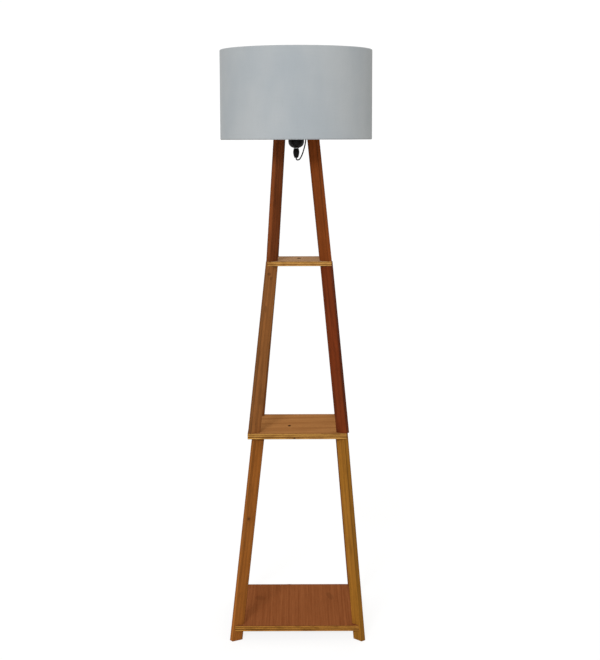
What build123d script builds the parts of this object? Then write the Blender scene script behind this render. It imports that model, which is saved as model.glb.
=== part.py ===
from build123d import *
import os
from math import atan2, cos, degrees, pi, radians, sin, sqrt, tan

# Shelf floor lamp. Millimetres. X is right, Y is to the back, Z is up.
# The origin is on the floor, straight below the middle of the shade.

# ---------- overall heights above the floor ----------
TOTAL_HEIGHT = 1524
SHADE_HEIGHT = 230
SHADE_BOTTOM = TOTAL_HEIGHT - SHADE_HEIGHT
BASE_SHELF_TOP = 40.5
MIDDLE_SHELF_TOP = 542
TOP_SHELF_TOP = 984
PLATE_BOTTOM = SHADE_BOTTOM + 14

# ---------- boards ----------
BASE_SHELF_SIDE = 339
MIDDLE_SHELF_SIDE = 256.5
TOP_SHELF_SIDE = 165
TOP_SHELF_SHIFT = 7.5
SHELF_THICK = 15
TOP_SHELF_THICK = 12
SHELF_EDGE = 0.7
PLATE_SIDE = 120
PLATE_THICK = 12
PLATE_TOP = PLATE_BOTTOM + PLATE_THICK

# ---------- legs ----------
LEG_WIDTH = 30.5
LEG_THICK = 14
LEG_ARRIS = 1.0
CORNERS = {"front_left": (-1, -1), "front_right": (1, -1), "rear_left": (-1, 1), "rear_right": (1, 1)}
# tier: foot height, head height, half spread at foot and head, sideways shift at foot and head
TIERS = {
    "lower": (0, MIDDLE_SHELF_TOP - SHELF_THICK, 161, 109.5, 0, 8),
    "middle": (MIDDLE_SHELF_TOP, TOP_SHELF_TOP - TOP_SHELF_THICK, 115, 71, 3.5, 6.5),
    "upper": (TOP_SHELF_TOP, PLATE_BOTTOM, 69.5, 43, 6, 0),
}
# The front legs were set by eye: degrees that each is turned off the diagonal.
TURN = {
    ("lower", "front_left"): 13,
    ("lower", "front_right"): -3,
    ("middle", "front_left"): 7,
    ("middle", "front_right"): 17,
    ("upper", "front_left"): -5,
    ("upper", "front_right"): 3,
}
# Legs whose outer corner runs on up beside the shelf on their head, with the shelf's side, shift and thickness.
PASSING_LEGS = {
    "lower": (("front_right", "rear_right"), MIDDLE_SHELF_SIDE, 0, SHELF_THICK),
    "middle": (tuple(CORNERS), TOP_SHELF_SIDE, TOP_SHELF_SHIFT, TOP_SHELF_THICK),
}
# Millimetres that a leg's foot stands nearer to the middle plane than the others of its tier.
FOOT_INSET = {("middle", "rear_left"): 6.3}
DOWEL_RADIUS = 4
DOWEL_DEPTH = 25
SIDE_DOWEL_RADIUS = 3
SIDE_DOWEL_LENGTH = 36
PLATE_SCREW_LENGTH = 38

# ---------- shade ----------
SHADE_RADIUS = 197
FABRIC_THICK = 0.8
LINING_THICK = 0.5
HOOP_WIRE_RADIUS = 1.5
HEM_RADIUS = 2.55
HEM_TAB = 5.5
FITTER_RADIUS = 34
ARM_RADIUS = 1.5
ARM_BEND_RADIUS = 150
ARM_COUNT = 3

# ---------- lampholder and bulb ----------
CAP_RADIUS = 20.5
CAP_BOTTOM = 1273.5
CAP_TOP = 1300
CAP_WALL = 2
DOME_RADIUS = 16.67
DOME_MIDDLE = 1290
SKIRT_RADIUS = 19.3
SKIRT_TOP = 1338
SHELL_RADIUS = 14.5
SHELL_WALL = 0.6
RING_NUT_RADIUS = 29
RING_NUT_NOTCHES = 12
GRIP_BOTTOM = 1248
GRIP_TOP = 1272.6
BULB_RADIUS = 30
BULB_MIDDLE = 1386
BULB_SEAT = 1305.7

# ---------- cord ----------
CORD_RADIUS = 1.7
CORD_STAND = CORD_RADIUS + 0.3
COIL_X = -25
COIL_Y = 231.4
COIL_INNER_RADIUS = 28
COIL_PITCH = 4.1
COIL_TURNS_IN = 2.5
COIL_TURNS_OUT = 3
COIL_LAYER_1 = 2.4
COIL_LAYER_2 = 6.5
COIL_CLIMB_TUCK = 1.3
CLIP_WALL = 1.1
CLIP_ROOM = 0.12
CLIP_LENGTH = 5
CLIP_EAR = 5
CLIP_EAR_WIDE = 5.6
CLIP_EAR_HIGH = 3
CLIP_NAIL = 5.6
NAIL_RADIUS = 0.7
NAIL_HEAD_RADIUS = 1.6
NAIL_HEAD_THICK = 0.7
NAIL_ROOM = 0.04
NAIL_DEPTH = 10
TIE_THICK = 0.6
TIE_WIDTH = 7
TIE_ROOM = 0.05
# The outermost and innermost turns curve this far off their circles within the band's width.
TIE_SLACK = 0.38
CLIP_HEIGHTS = {"upper": (1258, 1150, 1035), "middle": (920, 745, 590), "lower": (480, 290, 91)}

# Hand-laid route of the loop below the lampholder, up over the rear leg's inner edge, to the first clip.
LOOP_ROUTE = [
    (0, 0, 1248),
    (0, 0, 1244),
    (3.6, 0.2, 1241.9),
    (8.6, 1.0, 1244),
    (12.5, 2.0, 1249.6),
    (16.6, 3.4, 1259),
    (20.4, 5.4, 1271.5),
    (23.6, 8.6, 1283.5),
    (25.0, 15, 1293.4),
    (24.2, 24, 1299.2),
    (22.8, 34.5, 1300.8),
    (23.8, 45.5, 1300.4),
    (28.0, 54.5, 1298.6),
    (33.6, 59.2, 1291.5),
    (38.0, 57.2, 1282.5),
    (40.05, 52.14, 1274),
    (41.05, 52.96, 1264),
]
# From the last clip down to the floor and into the switch.
SWITCH_LEAD_ROUTE = [
    (147.62, 159.06, 85),
    (148.40, 159.98, 75.5),
    (148.6, 164.5, 66),
    (148.3, 170.8, 56.5),
    (147.8, 175.6, 45.5),
    (147.2, 178.0, 33),
    (146.0, 180.6, 20.5),
    (143.6, 184.8, 10),
    (139.4, 189.4, 3.6),
    (132.2, 192.4, 1.75),
    (123.6, 193.2, 1.8),
    (117.2, 192.3, 4.4),
    (112, 192, 6),
    (107, 192, 6),
]
# From the switch along the floor to the coil.
COIL_LEAD_ROUTE = [
    (29, 192, 6),
    (24, 192, 6),
    (17.5, 192.2, 4.4),
    (9.5, 192.8, 2.2),
    (0.5, 193.2, 1.75),
    (-8.1, 193.3, 2.1),
    (-15, 193.15, 2.4),
    (-21.6, 193.15, 2.4),
]
# From the top of the coil down to the floor and up into the plug.
PLUG_LEAD_ROUTE = [
    (-28.4, 191.1, 6.5),
    (-36.5, 191.1, 6.5),
    (-46, 192.3, 4.4),
    (-56, 195.6, 2.1),
    (-66.5, 199.9, 1.75),
    (-77, 204.6, 2.6),
    (-85, 207.6, 5.4),
    (-91, 208, 7),
    (-97, 208, 7),
]

# ---------- in-line switch and plug ----------
SWITCH_X = 68
SWITCH_Y = 192
SWITCH_LENGTH = 62
SWITCH_WIDTH = 22
SWITCH_HEIGHT = 14
SWITCH_SPLIT = 6
SWITCH_WALL = 1.8
RELIEF_LENGTH = 8
ROCKER_PIVOT = 9
ROCKER_SWEEP = 7.9
ROCKER_WIDTH = 10
ROCKER_TILT = 8
PLUG_X = -97
PLUG_Y = 208
PLUG_Z = 7
PLUG_RELIEF = 22
PLUG_BODY = 36
PIN_SPACING = 19
PIN_LENGTH = 19

parts = {}


def turned(*edges):
    """A solid turned about Z from lines drawn in radius and height."""
    return revolve(Plane.XZ * make_face(list(edges)), Axis.Z)


def turned_ring(inner, outer, low, high):
    """A plain ring about Z."""
    corners = [(inner, low), (outer, low), (outer, high), (inner, high)]
    return turned(*Polyline(*corners, close=True).edges())


# ---------- legs and shelves ----------
def leg_middle(tier, corner, z):
    """The middle of a leg's section at a height."""
    foot, head, spread_foot, spread_head, shift_foot, shift_head = TIERS[tier]
    share = (z - foot) / (head - foot)
    spread = spread_foot + share * (spread_head - spread_foot)
    shift = shift_foot + share * (shift_head - shift_foot)
    inset = (1 - share) * FOOT_INSET.get((tier, corner), 0)
    side, depth = CORNERS[corner]
    return Vector(side * (spread - inset) + shift, depth * spread, z)


def leg_outward(tier, corner):
    """The direction, in plan, in which a leg's narrow outer face looks."""
    side, depth = CORNERS[corner]
    angle = radians(45 + TURN.get((tier, corner), 0))
    return Vector(side * sin(angle), depth * cos(angle), 0)


def leg_bar(tier, corner, low, high, extra=0):
    """The leaning bar between two heights, with extra width on its outer side."""
    outward = leg_outward(tier, corner)
    turn = degrees(atan2(outward.Y, outward.X))
    start = leg_middle(tier, corner, low)
    lean = leg_middle(tier, corner, high) - start
    section = RectangleRounded(LEG_WIDTH + extra, LEG_THICK, LEG_ARRIS)
    place = Location(start + outward * (extra / 2), (0, 0, turn))
    return Solid.extrude((place * section).face(), lean)


def tower_leg(tier, corner):
    """A leg, which is notched for the shelf on its head where it is the wider of the two."""
    foot, head, *_ = TIERS[tier]
    passing, side, shift, thick = PASSING_LEGS.get(tier, ((), 0, 0, 0))
    if corner not in passing:
        return leg_bar(tier, corner, foot, head)
    notch = Pos(shift, 0, head + thick) * Box(side, 2 * side, 2 * thick)
    return leg_bar(tier, corner, foot, head + thick) - notch


def side_dowel(corner):
    """A dowel from a leg's inner edge into the base shelf's corner."""
    outward = leg_outward("lower", corner)
    middle = leg_middle("lower", corner, BASE_SHELF_TOP - SHELF_THICK / 2)
    middle -= outward * (LEG_WIDTH / 2)
    start = middle - outward * (SIDE_DOWEL_LENGTH / 2)
    return Plane(start, z_dir=outward) * extrude(Circle(SIDE_DOWEL_RADIUS), SIDE_DOWEL_LENGTH)


def shelf_dowel(below, above, corner, top, thick):
    """A dowel up through a shelf, into the leg below and the leg above."""
    lower_head = leg_middle(below, corner, top - thick)
    upper_foot = leg_middle(above, corner, top)
    x = (lower_head.X + upper_foot.X) / 2
    y = (lower_head.Y + upper_foot.Y) / 2
    length = thick + 2 * DOWEL_DEPTH
    return Pos(x, y, top - thick - DOWEL_DEPTH) * extrude(Circle(DOWEL_RADIUS), length)


def plate_screw(corner):
    """A countersunk wood screw from the plate down into a leg's head."""
    head_radius = 4.1
    shank_radius = 2
    outline = Polyline(
        (0, 0),
        (head_radius, 0),
        (head_radius, -0.6),
        (shank_radius, -3.2),
        (shank_radius, 5 - PLATE_SCREW_LENGTH),
        (0, -PLATE_SCREW_LENGTH),
        close=True,
    )
    middle = leg_middle("upper", corner, PLATE_BOTTOM)
    return Pos(middle.X, middle.Y, PLATE_TOP) * turned(*outline.edges())


def shelf_board(side, thick, top, shift=0):
    """A square plywood shelf with its edges eased."""
    board = Pos(shift, 0, top - thick / 2) * Box(side, side, thick)
    return chamfer(board.edges(), SHELF_EDGE)


def make_tower():
    """Twelve legs, three shelves and the top plate, with their dowels and screws."""
    base = shelf_board(BASE_SHELF_SIDE, SHELF_THICK, BASE_SHELF_TOP)
    middle = shelf_board(MIDDLE_SHELF_SIDE, SHELF_THICK, MIDDLE_SHELF_TOP)
    top = shelf_board(TOP_SHELF_SIDE, TOP_SHELF_THICK, TOP_SHELF_TOP, TOP_SHELF_SHIFT)
    plate = extrude(Pos(0, 0, PLATE_BOTTOM) * RectangleRounded(PLATE_SIDE, PLATE_SIDE, 12), PLATE_THICK)
    plate -= Pos(0, 0, PLATE_BOTTOM) * extrude(Circle(SKIRT_RADIUS + 0.7), PLATE_THICK)
    base_dowels = []
    middle_dowels = []
    top_dowels = []
    screws = []
    for corner in CORNERS:
        base_dowels.append(side_dowel(corner))
        middle_dowels.append(shelf_dowel("lower", "middle", corner, MIDDLE_SHELF_TOP, SHELF_THICK))
        top_dowels.append(shelf_dowel("middle", "upper", corner, TOP_SHELF_TOP, TOP_SHELF_THICK))
        screws.append(plate_screw(corner))
        slot_low = BASE_SHELF_TOP - SHELF_THICK - 1
        base -= leg_bar("lower", corner, slot_low, BASE_SHELF_TOP + 1, extra=40)
    bores = {
        "lower": base_dowels + middle_dowels,
        "middle": middle_dowels + top_dowels,
        "upper": top_dowels + screws,
    }
    for tier in TIERS:
        for number, corner in enumerate(CORNERS):
            leg = tower_leg(tier, corner)
            leg -= bores[tier][number]
            leg -= bores[tier][number + len(CORNERS)]
            parts[f"{tier}_leg_{corner}"] = leg
    parts["base_shelf"] = base - base_dowels
    parts["middle_shelf"] = middle - middle_dowels
    parts["top_shelf"] = top - top_dowels
    parts["top_plate"] = plate - screws
    parts["base_shelf_dowels"] = Compound(base_dowels)
    parts["middle_shelf_dowels"] = Compound(middle_dowels)
    parts["top_shelf_dowels"] = Compound(top_dowels)
    parts["top_plate_screws"] = Compound(screws)


# ---------- shade ----------
def fitter_arm(angle):
    """A wire arm from the fitter ring, level over the plate, then down to the bottom hoop."""
    level = PLATE_TOP + ARM_RADIUS + 0.5
    hoop_radius = SHADE_RADIUS - HEM_RADIUS
    hoop_height = SHADE_BOTTOM + HEM_RADIUS
    drop = atan2(level - hoop_height, hoop_radius - ARM_BEND_RADIUS)
    end_radius = hoop_radius - HOOP_WIRE_RADIUS * cos(drop)
    end_height = hoop_height + HOOP_WIRE_RADIUS * sin(drop)
    path = FilletPolyline(
        (FITTER_RADIUS - 4, 0, level),
        (ARM_BEND_RADIUS, 0, level),
        (end_radius, 0, end_height),
        radius=12,
    )
    arm = sweep(Plane(path @ 0, z_dir=path % 0) * Circle(ARM_RADIUS), path=path)
    return Rot(0, 0, angle) * arm


def make_shade():
    """A drum of laminated fabric, its hems rolled round two wire hoops, on a recessed three-arm fitter."""
    low = SHADE_BOTTOM + HEM_RADIUS
    high = TOTAL_HEIGHT - HEM_RADIUS
    outer = SHADE_RADIUS
    wall = SHADE_RADIUS - FABRIC_THICK
    hoop = SHADE_RADIUS - HEM_RADIUS
    tab_in = SHADE_RADIUS - 2 * HEM_RADIUS
    tab_out = tab_in + FABRIC_THICK
    fabric = turned(
        Line((outer, low), (outer, high)),
        ThreePointArc((outer, high), (hoop, TOTAL_HEIGHT), (tab_in, high)),
        Polyline((tab_in, high), (tab_in, high - HEM_TAB), (tab_out, high - HEM_TAB), (tab_out, high)),
        ThreePointArc((tab_out, high), (hoop, TOTAL_HEIGHT - FABRIC_THICK), (wall, high)),
        Line((wall, high), (wall, low)),
        ThreePointArc((wall, low), (hoop, SHADE_BOTTOM + FABRIC_THICK), (tab_out, low)),
        Polyline((tab_out, low), (tab_out, low + HEM_TAB), (tab_in, low + HEM_TAB), (tab_in, low)),
        ThreePointArc((tab_in, low), (hoop, SHADE_BOTTOM), (outer, low)),
    )
    ring = turned_ring(SKIRT_RADIUS + 0.5, FITTER_RADIUS, PLATE_TOP, PLATE_TOP + 1.5)
    arms = [fitter_arm(90 + number * 360 / ARM_COUNT) for number in range(ARM_COUNT)]
    for arm in arms:
        ring += arm
        fabric -= arm
    parts["shade_fabric"] = fabric
    lining_out = wall - 0.3
    parts["shade_lining"] = turned_ring(lining_out - LINING_THICK, lining_out, low + HEM_TAB, high - HEM_TAB)
    parts["shade_fitter"] = ring
    parts["shade_bottom_hoop"] = Pos(0, 0, low) * Torus(hoop, HOOP_WIRE_RADIUS)
    parts["shade_top_hoop"] = Pos(0, 0, high) * Torus(hoop, HOOP_WIRE_RADIUS)


# ---------- lampholder ----------
def dome_point(radius, angle):
    """A point of the cap's dome, an arc that ends upright at the cap's side."""
    middle = CAP_RADIUS - DOME_RADIUS
    return (middle + radius * cos(radians(angle)), DOME_MIDDLE + radius * sin(radians(angle)))


def holder_cap():
    """The black cap: a dome that narrows to the cord grip's neck."""
    bore = 5.2
    neck = 7.2
    outer_end = dome_point(DOME_RADIUS, -72)
    inner = DOME_RADIUS - CAP_WALL
    inner_end = dome_point(inner, -68)
    side = CAP_RADIUS - CAP_WALL
    return turned(
        Polyline(inner_end, (bore, inner_end[1]), (bore, CAP_BOTTOM), (neck, CAP_BOTTOM), outer_end),
        ThreePointArc(outer_end, dome_point(DOME_RADIUS, -38), (CAP_RADIUS, DOME_MIDDLE)),
        Polyline((CAP_RADIUS, DOME_MIDDLE), (CAP_RADIUS, CAP_TOP), (side, CAP_TOP), (side, DOME_MIDDLE)),
        ThreePointArc((side, DOME_MIDDLE), dome_point(inner, -36), inner_end),
    )


def holder_skirt():
    """The skirt that screws into the cap and carries both ring nuts."""
    bore = SHELL_RADIUS + 0.1
    outline = Polyline(
        (bore, CAP_TOP - 8),
        (CAP_RADIUS - CAP_WALL - 0.2, CAP_TOP - 8),
        (CAP_RADIUS - CAP_WALL - 0.2, CAP_TOP),
        (CAP_RADIUS, CAP_TOP),
        (CAP_RADIUS, CAP_TOP + 2.5),
        (SKIRT_RADIUS, CAP_TOP + 2.5),
        (SKIRT_RADIUS, SKIRT_TOP - 1),
        (SKIRT_RADIUS - 1, SKIRT_TOP),
        (bore, SKIRT_TOP),
        close=True,
    )
    return turned(*outline.edges())


def ring_nut(low, high):
    """A flat nut with a scalloped rim for the fingers."""
    nut = turned_ring(SKIRT_RADIUS + 0.2, RING_NUT_RADIUS, low, high)
    nut = chamfer(nut.edges().filter_by(GeomType.CIRCLE).group_by(SortBy.RADIUS)[-1], 0.8)
    for number in range(RING_NUT_NOTCHES):
        scallop = Pos(RING_NUT_RADIUS + 1.6, 0, low) * extrude(Circle(2.6), high - low)
        nut -= Rot(0, 0, number * 360 / RING_NUT_NOTCHES) * scallop
    return nut


def cord_grip():
    """The bulging clamp on the cap's stem, narrowing to the cord."""
    stem = 5
    return turned(
        Polyline((6.0, GRIP_TOP), (stem, GRIP_TOP), (stem, CAP_BOTTOM + 7), (0, CAP_BOTTOM + 7)),
        Polyline((0, CAP_BOTTOM + 7), (0, GRIP_BOTTOM), (4.6, GRIP_BOTTOM), (5.0, GRIP_BOTTOM + 0.6)),
        ThreePointArc((5.0, GRIP_BOTTOM + 0.6), (7.0, 1254.6), (8.2, 1261.2)),
        ThreePointArc((8.2, 1261.2), (7.6, 1267.6), (6.0, GRIP_TOP)),
    )


def terminal_screw(x):
    """A slotted cheese-head screw under the terminal block."""
    head = Pos(x, 0, CAP_TOP - 8) * extrude(Circle(2.4), 2)
    slot = Pos(x, 0, CAP_TOP - 8) * Box(6, 0.8, 1.6)
    return head - slot


def make_lampholder():
    """Cap, skirt, brass shell and contacts, clamped to the plate between two ring nuts."""
    screw_hole = Plane((0, 0, 1262), z_dir=(0, 1, 0)) * extrude(Circle(2), 9)
    grip_screw = Plane((0, 3, 1262), z_dir=(0, 1, 0)) * extrude(Circle(2), 6)
    block_low = CAP_TOP - 6
    block_high = CAP_TOP + 3
    block = turned_ring(2.2, SHELL_RADIUS, block_low, block_high)
    tongue = Pos(0, 0, block_high + 0.4) * Box(18, 6, 0.8)
    button = Pos(0, 0, block_high + 0.8) * extrude(Circle(3.4), 1.4)
    parts["holder_cap"] = holder_cap()
    parts["holder_skirt"] = holder_skirt()
    shell_in = SHELL_RADIUS - SHELL_WALL
    parts["thread_shell"] = turned_ring(shell_in, SHELL_RADIUS, block_high + 2, SKIRT_TOP - 2)
    parts["terminal_block"] = block
    parts["centre_contact"] = tongue + button
    parts["terminal_screws"] = Compound([terminal_screw(-8), terminal_screw(8)])
    parts["lower_ring_nut"] = ring_nut(CAP_TOP + 2.5, PLATE_BOTTOM)
    parts["upper_ring_nut"] = ring_nut(PLATE_TOP + 1.5, PLATE_TOP + 8)
    parts["cord_grip"] = cord_grip() - screw_hole
    parts["grip_screw"] = grip_screw
    parts["grip_washer"] = turned_ring(5.1, 7.2, GRIP_TOP, CAP_BOTTOM)


def make_bulb():
    """A round bulb on a screw base."""
    seat = BULB_SEAT
    rim = seat + 27
    base = turned(*Polyline(
        (0, seat), (4.2, seat), (4.6, seat + 1.4), (11.4, seat + 4), (13.2, seat + 5),
        (13.2, rim), (12.2, rim + 1.2), (0, rim + 1.2), close=True,
    ).edges())
    neck = (12.2, rim + 1.2)
    shoulder = (BULB_RADIUS * cos(radians(-38)), BULB_MIDDLE + BULB_RADIUS * sin(radians(-38)))
    top = (0, BULB_MIDDLE + BULB_RADIUS)
    parts["bulb_base"] = base
    parts["bulb_glass"] = turned(
        Line((0, neck[1]), neck),
        ThreePointArc(neck, (16.2, 1351), shoulder),
        ThreePointArc(shoulder, (BULB_RADIUS * cos(0.6), BULB_MIDDLE + BULB_RADIUS * sin(0.6)), top),
        Line(top, (0, neck[1])),
    )


# ---------- cord ----------
def corner_radii(points):
    """The largest arc that the two runs at each corner allow."""
    radii = []
    for before, corner, after in zip(points, points[1:], points[2:]):
        run_in = Vector(corner) - Vector(before)
        run_out = Vector(after) - Vector(corner)
        half_turn = radians(run_in.get_angle(run_out)) / 2
        radii.append(0.45 * min(run_in.length, run_out.length) / tan(half_turn))
    return radii


def cord_tube(name, points):
    """A round tube along straight runs joined by tangent arcs."""
    radii = corner_radii(points)
    path = FilletPolyline(*points, radius=radii)
    tube = sweep(Plane(path @ 0, z_dir=path % 0) * Circle(CORD_RADIUS), path=path)
    expected = pi * CORD_RADIUS ** 2 * path.length
    print(name, "length", round(path.length, 1), "least radius", round(min(radii), 1),
          "volume ratio", round(tube.volume / expected, 4))
    parts[name] = tube


def clip_place(tier, z):
    """The frame of a clip on the rear right leg: Z out of the leg's back face, X across the leg."""
    outward = leg_outward(tier, "rear_right")
    sideways = Vector(-outward.Y, outward.X, 0)
    origin = leg_middle(tier, "rear_right", z) + sideways * (LEG_THICK / 2)
    foot, head, *_ = TIERS[tier]
    lean = leg_middle(tier, "rear_right", head) - leg_middle(tier, "rear_right", foot)
    normal = lean.cross(outward).normalized()
    return Plane(origin, x_dir=normal.cross(lean).normalized(), z_dir=normal)


def on_leg(tier, z):
    """Where the cord's middle lies against the rear right leg's back face."""
    place = clip_place(tier, z)
    point = place.origin + place.z_dir * CORD_STAND
    return (point.X, point.Y, point.Z)


def arch_face(radius):
    """An arch that stands on the leg and is round over the cord."""
    sides = Pos(0, CORD_STAND / 2) * Rectangle(2 * radius, CORD_STAND)
    crown = Pos(0, CORD_STAND) * Circle(radius)
    above_leg = Pos(0, 5) * Rectangle(20, 10)
    return (crown & above_leg) + sides


def cable_clip(tier, z):
    """A small saddle clip over the cord, with an ear for its nail, and the nail."""
    place = clip_place(tier, z)
    ear = Pos(CLIP_EAR, CLIP_EAR_HIGH / 2) * Rectangle(CLIP_EAR_WIDE, CLIP_EAR_HIGH)
    body = extrude(Plane.XZ * (arch_face(CORD_RADIUS + CLIP_WALL) + ear), CLIP_LENGTH / 2, both=True)
    body -= extrude(Plane.XZ * arch_face(CORD_RADIUS + CLIP_ROOM), CLIP_LENGTH, both=True)
    bottom = Pos(CLIP_NAIL, 0, -NAIL_DEPTH)
    length = NAIL_DEPTH + CLIP_EAR_HIGH
    hole = bottom * extrude(Circle(NAIL_RADIUS + NAIL_ROOM), length)
    shank = bottom * Pos(0, 0, NAIL_ROOM) * extrude(Circle(NAIL_RADIUS), length - NAIL_ROOM)
    head = Pos(CLIP_NAIL, 0, CLIP_EAR_HIGH) * extrude(Circle(NAIL_HEAD_RADIUS), NAIL_HEAD_THICK)
    return place * (body - hole), place * (shank + head), place * hole


def leg_run_route():
    """Down the rear right leg's back face, out round the edges of the two upper shelves."""
    shelf_gap = CORD_RADIUS + 3.6
    top_edge = TOP_SHELF_SIDE / 2 + shelf_gap
    middle_edge = MIDDLE_SHELF_SIDE / 2 + shelf_gap
    return [
        LOOP_ROUTE[-1],
        on_leg("upper", 1024),
        (67.2, 80.0, 1006),
        (68.4, top_edge, 990),
        (69.6, top_edge + 0.4, 968),
        (71.2, 84.0, 950),
        on_leg("middle", 933),
        on_leg("middle", 578),
        (109.8, 126.5, 563),
        (110.0, middle_edge, 549),
        (110.6, middle_edge + 0.4, 522),
        (111.4, 127.0, 508),
        on_leg("lower", 493),
        SWITCH_LEAD_ROUTE[0],
    ]


def coil_knots():
    """Points and directions each half turn: in on the first layer, up in two steps, out on the second."""
    quarters_in = int(COIL_TURNS_IN * 4)
    quarters_out = int(COIL_TURNS_OUT * 4)
    step = COIL_PITCH / 4
    outer = COIL_INNER_RADIUS + quarters_in * step
    knots = []
    last = quarters_in + 2 + quarters_out
    for quarter in [*range(0, quarters_in + 1, 2), quarters_in + 1, *range(quarters_in + 2, last + 1, 2)]:
        angle = -pi / 2 - quarter * pi / 2
        after = quarter - quarters_in
        if after <= 0:
            radius, height, widening = outer - quarter * step, COIL_LAYER_1, -1
        elif after == 1:
            radius = COIL_INNER_RADIUS - COIL_CLIMB_TUCK
            height, widening = (COIL_LAYER_1 + COIL_LAYER_2) / 2, 0
        else:
            radius, height, widening = COIL_INNER_RADIUS + (after - 2) * step, COIL_LAYER_2, 1
        rise = (COIL_LAYER_2 - COIL_LAYER_1) / (pi * COIL_INNER_RADIUS) * 1.5 if after == 1 else 0
        drift = widening * COIL_PITCH / (2 * pi * radius)
        if quarter in (0, last):
            drift = 0
        out = Vector(cos(angle), sin(angle), 0)
        along = Vector(sin(angle), -cos(angle), 0)
        point = Vector(COIL_X, COIL_Y, height) + out * radius
        knots.append((point, (along + out * drift + Vector(0, 0, rise)).normalized()))
    return knots


def biarc(start, heading, end, last_heading):
    """Two arcs that meet smoothly between two points with given headings."""
    chord = end - start
    both = heading + last_heading
    square = 2 * (1 - heading.dot(last_heading))
    linear = 2 * chord.dot(both)
    reach = (-linear + sqrt(linear ** 2 + 4 * square * chord.dot(chord))) / (2 * square)
    middle = (start + heading * reach + end - last_heading * reach) * 0.5
    first = Edge.make_tangent_arc(start, heading, middle)
    second = Edge.make_tangent_arc(middle, first % 1, end)
    return [first, second]


def make_coil():
    """The put-away length, wound in two layers."""
    knots = coil_knots()
    first_point, first_heading = knots[0]
    last_point, last_heading = knots[-1]
    edges = [Edge.make_line(first_point - first_heading * 2 * CORD_RADIUS, first_point)]
    for (start, heading), (end, next_heading) in zip(knots, knots[1:]):
        edges += biarc(start, heading, end, next_heading)
    edges.append(Edge.make_line(last_point, last_point + last_heading * 2 * CORD_RADIUS))
    path = Wire(edges)
    coil = sweep(Plane(path @ 0, z_dir=path % 0) * Circle(CORD_RADIUS), path=path)
    expected = pi * CORD_RADIUS ** 2 * path.length
    print("cord_coil length", round(path.length, 1), "volume ratio", round(coil.volume / expected, 4),
          "least gap", round(least_gap(path), 2), "starts", path @ 0, "ends", path @ 1)
    parts["cord_coil"] = coil


def make_tie():
    """A soft band round all the turns, on the coil's right side."""
    low = COIL_LAYER_1 - CORD_RADIUS - TIE_ROOM
    high = COIL_LAYER_2 + CORD_RADIUS + TIE_ROOM
    near = COIL_INNER_RADIUS - COIL_CLIMB_TUCK - CORD_RADIUS - TIE_SLACK
    far = COIL_INNER_RADIUS + COIL_PITCH * (COIL_TURNS_OUT - 0.25) + CORD_RADIUS + TIE_SLACK
    corner = CORD_RADIUS + 2 * TIE_ROOM
    hole = RectangleRounded(far - near, high - low, corner)
    outline = RectangleRounded(far - near + 2 * TIE_THICK, high - low + 2 * TIE_THICK, corner + TIE_THICK)
    band = extrude(Plane.XZ * (outline - hole), TIE_WIDTH / 2, both=True)
    parts["coil_tie"] = Pos(COIL_X + (near + far) / 2, COIL_Y, (low + high) / 2) * band


def least_gap(path):
    """The least distance between the coil's turns, less its thickness, on evenly spaced points."""
    count = 900
    points = [path @ (number / count) for number in range(count + 1)]
    apart = int(count * 8 * CORD_RADIUS / path.length)
    nearest = 1e9
    for first in range(0, count + 1, 2):
        for second in range(first + apart, count + 1, 2):
            nearest = min(nearest, (points[first] - points[second]).length)
    return nearest - 2 * CORD_RADIUS


def make_cord():
    """Loop, clipped run, floor leads and coil, with the clips and their nails."""
    cord_tube("cord_loop", LOOP_ROUTE)
    cord_tube("cord_leg_run", leg_run_route())
    cord_tube("cord_switch_lead", SWITCH_LEAD_ROUTE)
    cord_tube("cord_coil_lead", COIL_LEAD_ROUTE)
    cord_tube("cord_plug_lead", PLUG_LEAD_ROUTE)
    make_coil()
    make_tie()
    clips = []
    nails = []
    for tier, heights in CLIP_HEIGHTS.items():
        for z in heights:
            clip, nail, hole = cable_clip(tier, z)
            clips.append(clip)
            nails.append(nail)
            parts[f"{tier}_leg_rear_right"] -= hole
    parts["cable_clips"] = Compound(clips)
    parts["clip_nails"] = Compound(nails)


# ---------- in-line switch ----------
def switch_body():
    """The switch's outer form, before it is split into two shells."""
    body = extrude(RectangleRounded(SWITCH_LENGTH, SWITCH_WIDTH, 9), SWITCH_HEIGHT)
    body = fillet(body.edges().group_by(Axis.Z)[-1], 3.2)
    return chamfer(body.edges().group_by(Axis.Z)[0], 0.8)


def rocker():
    """The rocker at mid travel: dished top, ends swept round its pivot, two stub pins."""
    low = -2.2
    end_low = sqrt(ROCKER_SWEEP ** 2 - low ** 2)
    tip = 5.3
    end_tip = sqrt(ROCKER_SWEEP ** 2 - tip ** 2)
    outline = make_face([
        Line((-end_low, low), (end_low, low)),
        ThreePointArc((end_low, low), (ROCKER_SWEEP * cos(0.2), ROCKER_SWEEP * sin(0.2)), (end_tip, tip)),
        ThreePointArc((end_tip, tip), (0, tip - 1.1), (-end_tip, tip)),
        ThreePointArc((-end_tip, tip), (-ROCKER_SWEEP * cos(0.2), ROCKER_SWEEP * sin(0.2)), (-end_low, low)),
    ])
    key = extrude(Plane.XZ * outline, ROCKER_WIDTH / 2, both=True)
    pin = extrude(Plane.XZ * Circle(1.2), ROCKER_WIDTH / 2 + 2.2, both=True)
    return key + pin


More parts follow.
